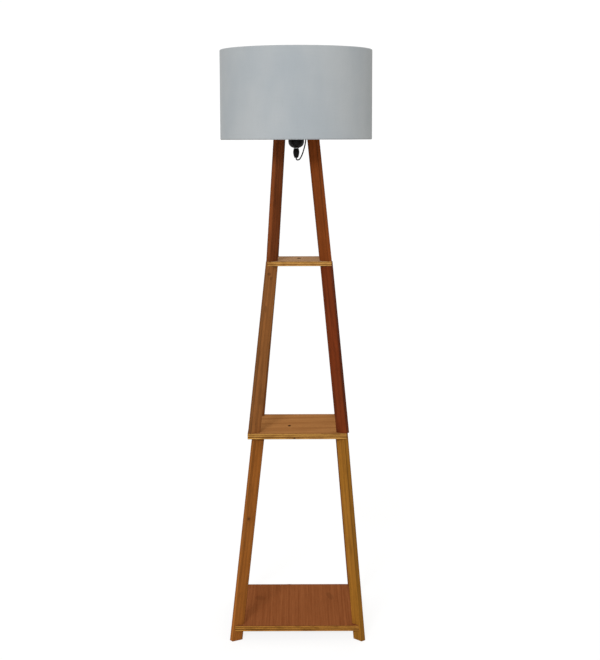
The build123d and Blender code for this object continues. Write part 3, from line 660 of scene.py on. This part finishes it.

# %% [markdown]
# ## The shelves
# The shelves are plywood, so a face and an edge look quite different. A face is one sheet of veneer with
# broad grain. An edge shows the plies: light ones where the fibres run along the edge, dark ones where
# they are cut across. Which way a face looks tells the two apart. The base shelf's veneer is
# redder, with its grain from front to back, and the two upper shelves' runs from side to side.
# Near the rim, faces and edges both get painted shade.

# %% Turn the grain and find the edges
# a board's face gets painted shade at its rim: how far inside it starts and is full
RIM_START, RIM_FULL = 4 * MM, 0.5 * MM


def shelf_place(graph, place, along):
    """Shelf coordinates whose Z is the way of the grain, seen from above, in degrees from X."""
    return mapped(graph, place, "TEXTURE", Rotation=(0, pi / 2, radians(along)))


def is_edge(graph):
    """One on the upright edges of a board, zero on its faces."""
    looks = add(graph, "TexCoord").outputs["Normal"]
    up = calc(graph, "ABSOLUTE", axes(graph, looks)[2])
    return calc(graph, "LESS_THAN", up, 0.5)


def near_rim(graph, place, low, high):
    """One at a board's rim, where painted shade goes, fading within four millimetres."""
    reaches = []
    for way, near, far in zip(axes(graph, place)[:2], low, high):
        off_middle = calc(graph, "SUBTRACT", way, (near + far) / 2)
        reaches.append(near_side(graph, off_middle, (far - near) / 2, RIM_START, RIM_FULL))
    return calc(graph, "MAXIMUM", *reaches)


shelf_low, shelf_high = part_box("base_shelf")
print("the base shelf is", round((shelf_high.z - shelf_low.z) / MM, 1), "mm thick")

# %% The plies of an edge
# each ply's start and end, as shares of the board's thickness; the dark ends are painted shade at the
# arrises
PLY_LAYERS = (
    ("dark", 0.0), ("light", 0.07), ("light", 0.27), ("dark", 0.33), ("dark", 0.43), ("light", 0.49),
    ("light", 0.66), ("dark", 0.71), ("dark", 0.76), ("light", 0.82), ("light", 0.93), ("dark", 1.0),
)
PLY_SWAY = 1.1 * MM
PALE_PLY = linear(203, 150, 76)
DARK_PLY = linear(100, 56, 20)


def plies(graph, place, low, high, light, dark, seed):
    """The layers of a plywood edge, by height, a little wavy, with blotches and specks of end grain."""
    sway = noise(graph, mapped(graph, place, Location=(seed, 0, 0), Scale=(12, 12, 40)), 1.0, 2.0)
    level = calc(graph, "ADD", axes(graph, place)[2], calc(graph, "MULTIPLY", sway, PLY_SWAY))
    share = remap(graph, level, low.z + PLY_SWAY / 2, high.z + PLY_SWAY / 2, smooth=False)
    ramp = add(graph, "ValToRGB", {0: share})
    stops = ramp.color_ramp.elements
    while len(stops) < len(PLY_LAYERS):
        stops.new(1.0)
    for stop, (tone, position) in zip(stops, PLY_LAYERS):
        stop.color = light if tone == "light" else dark
        stop.position = position
    broad = noise(graph, mapped(graph, place, Location=(0, seed, 0), Scale=(38, 38, 90)), 1.0)
    blotches = remap(graph, broad, 0.42, 0.7, 0.0, 0.45)
    fine = mapped(graph, place, Location=(seed, 0, 0), Scale=(420, 420, 1400))
    specks = remap(graph, noise(graph, fine, 1.0, 3.0, 0.65), 0.4, 0.75, 0.0, 0.42)
    return blend(graph, specks, blend(graph, blotches, ramp.outputs[0], dark), STAIN_AND_SHADE_DARK)


print(len(PLY_LAYERS) // 2 + 1, "plies and arrises in an edge")

# %% Three shelves and a plate of plywood
# how dark the painted shade along a board's rim is
RIM_SHADE = 0.45
TOP_KNOT = (0.0067, 0.0160, 0.984)
MIDDLE_KNOT = (-0.0205, -0.0280, 0.542)
EDGE_KNOT = (-0.0068, -0.1283, 0.5294)
BASE_STAINS = [
    ((-0.103, 0.05, 0.0405), (14, 20, 4), 20, 0.15),
    ((0.089, 0.066, 0.0405), (8, 30, 4), 10, 0.2),
]


def plywood(node, dark, light, along, seed, pale_ply=PALE_PLY, dark_ply=DARK_PLY, marks=(),
            ring_width=16 * MM, ring_share=0.35):
    """A board of plywood: veneer between two tones on its faces, plies on its edges, painted shade at its
    rim.
    """
    material, graph, shader = new_material(node + "_plywood")
    place = own_place(graph)
    low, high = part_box(node)
    board = shelf_place(graph, place, along)
    grain = wood_grain(graph, board, seed, ring_width=ring_width, wander=1.6)
    colour = wood_colour(graph, grain, dark, light, ring_share)
    # painted shade along the rim of the faces
    rim = calc(graph, "MULTIPLY", near_rim(graph, place, low, high), RIM_SHADE)
    colour = blend(graph, rim, colour, STAIN_AND_SHADE_DARK)
    colour = blend(graph, is_edge(graph), colour, plies(graph, place, low, high, pale_ply, dark_ply, seed))
    colour = with_marks(graph, colour, place, marks)
    # the tops are seen at a low angle, where the least gloss would turn them white
    finish_wood(graph, shader, colour, grain, roughness=0.7, gloss=0.0)
    return material


dress("base_shelf", plywood("base_shelf", linear(119, 62, 31), linear(166, 101, 59), along=90, seed=40.3,
                            pale_ply=linear(186, 128, 58), dark_ply=linear(92, 56, 18),
                            marks=BASE_STAINS, ring_width=2.4 * MM, ring_share=0.12))
dress("middle_shelf", plywood("middle_shelf", linear(142, 88, 44), linear(198, 140, 84), along=8, seed=44.6,
                              marks=[(MIDDLE_KNOT, (4, 9, 4), 0, 0.95), (EDGE_KNOT, (2.8, 4, 1.8), 0, 0.8)]))
dress("top_shelf", plywood("top_shelf", linear(154, 112, 76), linear(206, 166, 127), along=-5, seed=48.2,
                           pale_ply=linear(212, 158, 84), dark_ply=linear(120, 72, 28),
                           marks=[(TOP_KNOT, (5, 14, 4), 8, 0.85)]))
dress("top_plate", plywood("top_plate", linear(120, 76, 40), linear(160, 110, 62), along=0, seed=51.5))
print("three shelves and a plate")

# %% Beech dowels
def beech():
    """Pale turned pegs with a close grain."""
    material, graph, shader = new_material("beech_dowel")
    grain = wood_grain(graph, own_place(graph), seed=55.0, ring_width=4 * MM)
    colour = wood_colour(graph, grain, linear(170, 132, 88), linear(214, 182, 134))
    finish_wood(graph, shader, colour, grain, roughness=0.6)
    return material


dowel_wood = beech()
for pegs in ("base_shelf_dowels", "middle_shelf_dowels", "top_shelf_dowels"):
    dress(pegs, dowel_wood)
print("dowels of", dowel_wood.name)

# %% [markdown]
# ## The shade
# The drum is pale grey linen glued to a white plastic lining. Its hems are rolled round two wire hoops,
# and at the back the cloth's end laps over its start by twelve millimetres. One section through the
# cloth is drawn from the drum's radius, height and hem, and turned about Z. The cloth's own coordinates
# run round the drum and up it, in metres, so that the threads keep their size.

# %% The drum's section
SHADE_LOW, SHADE_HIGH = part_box("shade_fabric")
DRUM_RADIUS = (SHADE_HIGH.x - SHADE_LOW.x) / 2
HEM_RADIUS = 2.55 * MM
HEM_STEPS = 7
HEM_TAB = 5.5 * MM
CLOTH_THICK = 0.8 * MM
WALL_STEPS = 12
# the wall's first and last rows keep this far from the hems' arcs
HEM_GAP = 0.4 * MM


def hem_arc(level, start, end, radius):
    """Points of a rolled hem, as radius and height, on an arc about the hoop."""
    points = []
    for step in range(HEM_STEPS + 1):
        angle = start + (end - start) * step / HEM_STEPS
        points.append((DRUM_RADIUS - HEM_RADIUS + radius * cos(angle), level + radius * sin(angle)))
    return points


def drum_section():
    """The closed section of the cloth: outside up, over the top hem, inside down, under the bottom hem."""
    low = SHADE_LOW.z + HEM_RADIUS
    high = SHADE_HIGH.z - HEM_RADIUS
    inside = HEM_RADIUS - CLOTH_THICK
    between = [low + (high - low) * step / WALL_STEPS for step in range(1, WALL_STEPS)]
    levels = [low + HEM_GAP] + between + [high - HEM_GAP]
    outer_wall = [(DRUM_RADIUS, level) for level in levels]
    inner_wall = [(DRUM_RADIUS - CLOTH_THICK, level) for level in reversed(levels)]
    tab_in = DRUM_RADIUS - 2 * HEM_RADIUS
    tab_out = tab_in + CLOTH_THICK
    section = outer_wall + hem_arc(high, 0, pi, HEM_RADIUS)
    section += [(tab_in, high - HEM_TAB), (tab_out, high - HEM_TAB)]
    section += hem_arc(high, pi, 0, inside) + inner_wall + hem_arc(low, 0, -pi, inside)
    section += [(tab_out, low + HEM_TAB), (tab_in, low + HEM_TAB)] + hem_arc(low, -pi, -tau, HEM_RADIUS)
    return section


print(len(drum_section()), "points in the section of the cloth")

# %% The lap at the back
LAP_WIDTH = 12 * MM
LAP_PROUD = 0.5 * MM
LAP_THINNING = 4 * MM
LAP_START = pi / 2
LAP_END = LAP_START + LAP_WIDTH / DRUM_RADIUS
# angles just before and after the lap's step, and where it starts and ends coming down to the cloth
LAP_EDGES = [LAP_START - 0.0008, LAP_START + 0.0001, LAP_END - 0.02, LAP_END]
CLEAR_OF_STEP = 0.001
ROUND_STEPS = 256


def lap_lift(angle):
    """How far the cloth stands out where its end lies over its start."""
    across = (angle - LAP_START) * DRUM_RADIUS
    if not 0 <= across <= LAP_WIDTH:
        return 0.0
    return LAP_PROUD * min(1.0, (LAP_WIDTH - across) / LAP_THINNING)


def round_angles():
    """Evenly spaced angles, with more of them where the lap steps up and comes down."""
    even = [tau * step / ROUND_STEPS for step in range(ROUND_STEPS)]
    kept = [angle for angle in even if abs(angle - LAP_START) > CLEAR_OF_STEP]
    return sorted(set(kept + LAP_EDGES))


print("the lap stands", round(LAP_PROUD / MM, 2), "mm proud")

# %% Turn the drum
ON_THE_OUTSIDE = DRUM_RADIUS - 0.1 * MM


def turn_section(mesh, section, angles):
    """The section's points at each angle, with the outer ones lifted at the lap."""
    middle = (SHADE_LOW + SHADE_HIGH) / 2
    rounds = []
    for angle in angles:
        out = Vector((cos(angle), sin(angle), 0))
        ring = []
        for radius, height in section:
            proud = lap_lift(angle) if radius >= ON_THE_OUTSIDE else 0.0
            ring.append(mesh.verts.new(Vector((middle.x, middle.y, height)) + out * (radius + proud)))
        rounds.append(ring)
    return rounds


def shade_cloth():
    """The drum of cloth, with coordinates that run round it and up it in metres."""
    section, angles = drum_section(), round_angles()
    mesh = bmesh.new()
    uv = mesh.loops.layers.uv.new("cloth")
    rounds = turn_section(mesh, section, angles)
    for here in range(len(angles)):
        there = (here + 1) % len(angles)
        sweep = (angles[there] - angles[here]) % tau
        left, right = angles[here] * DRUM_RADIUS, (angles[here] + sweep) * DRUM_RADIUS
        for row in range(len(section)):
            up = (row + 1) % len(section)
            corners = (rounds[here][row], rounds[there][row], rounds[there][up], rounds[here][up])
            face = mesh.faces.new(corners)
            face.smooth = True
            heights = (section[row][1], section[row][1], section[up][1], section[up][1])
            for loop, u, v in zip(face.loops, (left, right, right, left), heights):
                loop[uv].uv = (u, v)
    bmesh.ops.recalc_face_normals(mesh, faces=mesh.faces)
    data = bpy.data.meshes.new("shade_cloth")
    mesh.to_mesh(data)
    mesh.free()
    cloth = bpy.data.objects.new("shade_cloth", data)
    bpy.context.scene.collection.objects.link(cloth)
    return cloth


cloth = shade_cloth()
print("drum of", len(cloth.data.polygons), "faces, radius", round(DRUM_RADIUS, 4))

# %% [markdown]
# ## The linen
# Linen is a plain weave of uneven threads. Two zigzags, one round the drum and one up it, stand for the
# threads, and the higher of the two is on top. Noise stretched along a thread makes its thick places,
# the slubs, and a broad noise makes the cloth a little cloudy. The gaps between threads get painted shade.

# %% Weave the linen
HALF_THREAD = 0.62 * MM
# how often slubs change in a metre, across the thread and along it
SLUBS_ACROSS, SLUBS_ALONG = 1500, 22
THINNEST_THREAD = 0.75
WEAVE_DEPTH = 0.16 * MM


def threads(graph, way, offset, slubs):
    """The height of a row of threads, lifted by the slubs of the threads that cross it."""
    steps = calc(graph, "ADD", calc(graph, "DIVIDE", way, HALF_THREAD), offset)
    zigzag = calc(graph, "PINGPONG", steps, 1.0)
    return calc(graph, "MULTIPLY", zigzag, calc(graph, "ADD", slubs, THINNEST_THREAD))


def thick_places(graph, cloth, across, along):
    """Thicker stretches of single threads, as linen has."""
    squeezed = mapped(graph, cloth, Scale=(across, along, 1))
    return remap(graph, noise(graph, squeezed, 1.0, 2.0), 0.5, 0.78)


def linen():
    """Pale grey linen, dull and a little fuzzy."""
    material, graph, shader = new_material("pale_linen")
    cloth = add(graph, "UVMap", uv_map="cloth").outputs[0]
    round_way, up_way = axes(graph, cloth)[:2]
    upright = thick_places(graph, cloth, SLUBS_ACROSS, SLUBS_ALONG)
    level = thick_places(graph, cloth, SLUBS_ALONG, SLUBS_ACROSS)
    uprights = threads(graph, round_way, 0.0, level)
    weave = calc(graph, "MAXIMUM", uprights, threads(graph, up_way, 0.5, upright))
    cloudy = noise(graph, mapped(graph, cloth, Scale=(9, 5, 1)), 1.0, 2.0)
    colour = blend(graph, spread(graph, cloudy), linear(175, 181, 185), linear(184, 188, 190))
    slubs = calc(graph, "MULTIPLY", calc(graph, "MAXIMUM", upright, level), 0.22)
    colour = blend(graph, slubs, colour, linear(150, 156, 156))
    # painted shade in the gaps between threads
    colour = blend(graph, remap(graph, weave, 0.25, 0.0, 0.0, 0.35), colour, linear(128, 134, 136))
    feed(graph, shader, {
        "Base Color": colour,
        "Roughness": 0.88,
        "Specular IOR Level": 0.25,
        "Sheen Weight": 0.15,
        "Sheen Roughness": 0.5,
        "Normal": bump(graph, weave, WEAVE_DEPTH, 0.8),
    })
    return material


cloth.data.materials.append(linen())
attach(cloth, "stand")
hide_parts("shade_fabric")
print("woven with", round(1 / (2 * HALF_THREAD)), "threads to the metre")

# %% [markdown]
# ## Moulded black and metal
# The lampholder, switch and plug are black mouldings: deep gloss on the lampholder, satin on the
# switch, soft on the plug. None is perfectly even, so each gets a faint ripple and a little dust in
# its roughness. Brass, steel and nickel are plain metals with fine scratches round them.

# %% Mouldings and metals
STEEL_GREY = (0.55, 0.56, 0.57, 1)
STEEL_ROUGHNESS = 0.33
SCRATCHES_ROUND = (120, 120, 4200)


def moulded(name, colour, roughness, gloss=0.5, ripple=0.02 * MM, grain_scale=900):
    """A moulding with a faint ripple, a fine texture and an uneven gloss."""
    material, graph, shader = new_material(name)
    place = own_place(graph)
    cloudy = noise(graph, place, 60)
    dusty = remap(graph, cloudy, 0.4, 0.75, 0.0, 0.6)
    feed(graph, shader, {
        "Base Color": blend(graph, dusty, colour, scaled(colour, 1.6)),
        "Roughness": spread(graph, cloudy, roughness - 0.05, roughness + 0.09),
        "Specular IOR Level": gloss,
        "Normal": bump(graph, noise(graph, place, grain_scale, 2.0), ripple, 0.6),
    })
    return material


def metal(name, colour, roughness):
    """A bare or plated metal with fine scratches round it."""
    material, graph, shader = new_material(name)
    place = own_place(graph)
    scratches = noise(graph, mapped(graph, place, Scale=SCRATCHES_ROUND), 1.0)
    tarnish = remap(graph, noise(graph, place, 130, 2.0), 0.45, 0.8, 0.0, 0.45)
    feed(graph, shader, {
        "Base Color": blend(graph, tarnish, colour, scaled(colour, 0.62)),
        "Metallic": 1.0,
        "Roughness": spread(graph, scratches, roughness - 0.06, roughness + 0.1),
        "Normal": bump(graph, scratches, 0.01 * MM, 0.5),
    })
    return material


black_gloss = moulded("black_holder", (0.0035, 0.003, 0.003, 1), roughness=0.3, gloss=0.12)
black_satin = moulded("black_switch", (0.010, 0.010, 0.011, 1), roughness=0.42, ripple=0.04 * MM,
                      grain_scale=1800)
black_soft = moulded("black_plug", (0.012, 0.012, 0.013, 1), roughness=0.55, ripple=0.05 * MM,
                     grain_scale=1400)
cream = moulded("cream_insulator", linear(216, 208, 190), roughness=0.5)
brass = metal("yellow_brass", (0.78, 0.56, 0.22, 1), roughness=0.28)
steel = metal("zinc_steel", STEEL_GREY, STEEL_ROUGHNESS)
bright = metal("bright_shell", (0.78, 0.79, 0.80, 1), roughness=0.24)
nickel = metal("nickel_pin", (0.74, 0.72, 0.66, 1), roughness=0.2)
print("four mouldings and four metals")

# %% [markdown]
# ## Cord, wire, lining, glass and tie
# The cord's cover is soft and black, the fitter and the hoops are wire with white paint, and the lining
# is white plastic with a fine tooth. The bulb is opal glass, which lets light in a little way, so it
# gets some subsurface scattering. The coil's tie is a fuzzy band. In most of them one noise drives
# colour and relief together, as dust and wear do on the real thing.

# %% Painted wire and plastic lining
def painted_wire():
    """White paint with a faint orange peel."""
    material, graph, shader = new_material("white_painted_wire")
    peel = noise(graph, own_place(graph), 500, 2.0)
    feed(graph, shader, {
        "Base Color": blend(graph, spread(graph, peel), linear(222, 221, 216), linear(236, 235, 231)),
        "Roughness": 0.38,
        "Normal": bump(graph, peel, 0.02 * MM, 0.5),
    })
    return material


def lining_plastic():
    """White plastic sheet with a fine tooth."""
    material, graph, shader = new_material("white_lining")
    tooth = noise(graph, own_place(graph), 700, 2.0)
    feed(graph, shader, {
        "Base Color": blend(graph, spread(graph, tooth), linear(226, 226, 221), linear(234, 234, 230)),
        "Roughness": 0.55,
        "Normal": bump(graph, tooth, 0.03 * MM, 0.5),
    })
    return material


wire = painted_wire()
lining = lining_plastic()
print("made", wire.name, "and", lining.name)

# %% Cord cover, tie and opal glass
def cord_cover():
    """Soft black cord with a fine tooth."""
    material, graph, shader = new_material("black_cord")
    place = own_place(graph)
    cloudy = noise(graph, place, 180)
    share = remap(graph, cloudy, 0.35, 0.75)
    feed(graph, shader, {
        "Base Color": blend(graph, share, (0.0025, 0.0025, 0.003, 1), (0.006, 0.006, 0.007, 1)),
        "Roughness": spread(graph, cloudy, 0.45, 0.62),
        "Specular IOR Level": 0.05,
        "Normal": bump(graph, noise(graph, place, 1500, 2.0), 0.03 * MM, 0.6),
    })
    return material


def tie_cloth():
    """Hook-and-loop band: short black fuzz."""
    material, graph, shader = new_material("tie_cloth")
    fuzz = noise(graph, own_place(graph), 2200, 3.0, 0.7)
    share = remap(graph, fuzz, 0.3, 0.75)
    feed(graph, shader, {
        "Base Color": blend(graph, share, (0.006, 0.006, 0.006, 1), (0.045, 0.045, 0.047, 1)),
        "Roughness": 0.95,
        "Sheen Weight": 0.3,
        "Normal": bump(graph, fuzz, 0.25 * MM, 0.9),
    })
    return material


def opal_glass():
    """Milky white glass that lets light in a little way."""
    material, graph, shader = new_material("opal_glass")
    milk = noise(graph, own_place(graph), 40, 2.0)
    feed(graph, shader, {
        "Base Color": blend(graph, milk, linear(240, 238, 230), linear(248, 247, 242)),
        "Roughness": spread(graph, milk, 0.12, 0.2),
        "Subsurface Weight": 0.25,
        "Subsurface Radius": (10 * MM, 10 * MM, 10 * MM),
        "Normal": bump(graph, milk, 0.01 * MM, 0.4),
    })
    return material


black_cord = cord_cover()
print("made", black_cord.name)

# %% Dress the small pieces
SMALL_PIECES = {
    "holder_cap": black_gloss, "holder_skirt": black_gloss, "lower_ring_nut": black_gloss,
    "upper_ring_nut": black_gloss, "cord_grip": black_gloss, "thread_shell": brass,
    "centre_contact": brass, "terminal_screws": brass, "terminal_block": cream, "grip_screw": steel,
    "grip_washer": steel, "bulb_base": bright, "bulb_glass": opal_glass(), "shade_lining": lining,
    "shade_fitter": wire, "shade_bottom_hoop": wire, "shade_top_hoop": wire,
    "cord_leg_run": black_cord, "cable_clips": black_satin, "clip_nails": steel, "coil_tie": tie_cloth(),
    "switch_base": black_satin, "switch_cover": black_satin, "switch_rocker": black_gloss,
    "switch_contacts": brass, "switch_screws": steel, "switch_reliefs": black_soft,
    "plug_relief": black_soft, "plug_body": black_soft, "plug_pins": nickel, "plug_pin_sleeves": black_soft,
}
for node, material in SMALL_PIECES.items():
    dress(node, material)
for cord in (loop_cord, floor_cord):
    cord.data.materials.append(black_cord)
print(len(SMALL_PIECES), "small pieces dressed")

# %% [markdown]
# ## The plate's screw heads
# Each of the four screws in the top plate has a cross in its head. A shallow cut, hidden in the shade,
# isn't worth its faces, so the cross is drawn in the material as painted shade: a dark mark where the
# recess would be. The heads lie evenly about the middle, so one sum on the place folds all four into one
# corner, and two limits draw the cross.

# %% Draw the crosses
HEAD_RADIUS = 4.1 * MM
CROSS_REACH = 2.7 * MM
CROSS_HALF_WIDTH = 0.45 * MM
CROSS_PAINTED_SHADE = (0.02, 0.02, 0.02, 1)


def cross_heads(node):
    """Steel with a dark cross of painted shade in each of four heads, which lie evenly about the piece's
    middle.
    """
    material = metal("cross_screw", STEEL_GREY, STEEL_ROUGHNESS)
    graph = material.node_tree
    shader = graph.nodes["Principled BSDF"]
    away = []
    for way, far in zip(axes(graph, own_place(graph))[:2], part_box(node)[1]):
        folded = calc(graph, "ABSOLUTE", way)
        away.append(calc(graph, "ABSOLUTE", calc(graph, "SUBTRACT", folded, far - HEAD_RADIUS)))
    thin = calc(graph, "LESS_THAN", calc(graph, "MINIMUM", *away), CROSS_HALF_WIDTH)
    near = calc(graph, "LESS_THAN", calc(graph, "MAXIMUM", *away), CROSS_REACH)
    # the dark cross is painted shade standing for a cut recess
    cross = calc(graph, "MULTIPLY", thin, near)
    plain = shader.inputs["Base Color"].links[0].from_socket
    feed(graph, shader, {"Base Color": blend(graph, cross, plain, CROSS_PAINTED_SHADE)})
    return material


dress("top_plate_screws", cross_heads("top_plate_screws"))
bare = [name for name, piece in nodes.items() if not piece.data.materials and not piece.hide_render]
print("crosses drawn, and still bare:", bare)

# %% [markdown]
# ## Threads
# The model's threaded pieces are plain cylinders. Their threads are made here with Geometry Nodes: a
# spiral curve is swept with a small rounded ridge. The tree's inputs are the number of turns, the
# radius, the rise per turn and the ridge's size. Each thread becomes a plain mesh, so that nothing is
# left to work out later. The bulb's thread shows when the bulb is pulled out, the skirt's above its
# upper nut.

# %% The tree of one spiral ridge
TREE_INPUTS = ("Turns", "Radius", "Pitch", "Ridge")
STEPS_PER_TURN = 40
RIDGE_SIDES = 8


def thread_tree(material):
    """Geometry Nodes that draw a thread's ridge about Z, its first turn at height zero."""
    tree = bpy.data.node_groups.new("thread_ridge", "GeometryNodeTree")
    sockets = {}
    for name in TREE_INPUTS:
        sockets[name] = tree.interface.new_socket(name, in_out="INPUT", socket_type="NodeSocketFloat")
    tree.interface.new_socket("Geometry", in_out="OUTPUT", socket_type="NodeSocketGeometry")

    given = tree.nodes.new("NodeGroupInput").outputs
    result = tree.nodes.new("NodeGroupOutput")
    spiral = tree.nodes.new("GeometryNodeCurveSpiral")
    height = tree.nodes.new("ShaderNodeMath")
    height.operation = "MULTIPLY"
    ridge = tree.nodes.new("GeometryNodeCurvePrimitiveCircle")
    swept = tree.nodes.new("GeometryNodeCurveToMesh")
    real = tree.nodes.new("GeometryNodeRealizeInstances")
    dressed = tree.nodes.new("GeometryNodeSetMaterial")

    feed(tree, height, {0: given["Turns"], 1: given["Pitch"]})
    feed(tree, spiral, {
        "Resolution": STEPS_PER_TURN,
        "Rotations": given["Turns"],
        "Start Radius": given["Radius"],
        "End Radius": given["Radius"],
        "Height": height.outputs[0],
    })
    feed(tree, ridge, {"Resolution": RIDGE_SIDES, "Radius": given["Ridge"]})
    feed(tree, swept, {"Curve": spiral.outputs[0], "Profile Curve": ridge.outputs[0], "Fill Caps": True})
    feed(tree, real, {0: swept.outputs[0]})
    feed(tree, dressed, {"Geometry": real.outputs[0], "Material": material})
    feed(tree, result, {"Geometry": dressed.outputs[0]})
    return tree, {name: socket.identifier for name, socket in sockets.items()}


print("a thread's inputs:", ", ".join(TREE_INPUTS))

# %% Cut both threads
# name: body, material, turns, radius, pitch, ridge, lowest turn
THREADS = {
    "bulb_thread": ("bulb", bright, 5, 13.0 * MM, 3.6 * MM, 0.65 * MM, 1313.5 * MM),
    "skirt_thread": ("stand", black_gloss, 3.5, 19.15 * MM, 2 * MM, 0.5 * MM, 1329.5 * MM),
}


def add_thread(name, body, material, measures, low):
    """A ridge about Z from a height, as a plain mesh that moves with a body."""
    tree, names = thread_tree(material)
    holder = bpy.data.objects.new(name + "_nodes", bpy.data.meshes.new(name + "_nodes"))
    bpy.context.scene.collection.objects.link(holder)
    modifier = holder.modifiers.new("thread", "NODES")
    modifier.node_group = tree
    for key, value in zip(TREE_INPUTS, measures):
        modifier[names[key]] = value
    bpy.context.view_layer.update()
    drawn = holder.evaluated_get(bpy.context.evaluated_depsgraph_get())
    mesh = bpy.data.meshes.new_from_object(drawn)
    bpy.data.objects.remove(holder)
    mesh.transform(Matrix.Translation((0, 0, low)))
    for face in mesh.polygons:
        face.use_smooth = True
    mesh.name = name
    thread = bpy.data.objects.new(name, mesh)
    bpy.context.scene.collection.objects.link(thread)
    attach(thread, body)
    return thread


for name, (body, material, *measures, low) in THREADS.items():
    thread = add_thread(name, body, material, measures, low)
    print(name, len(thread.data.polygons), "faces")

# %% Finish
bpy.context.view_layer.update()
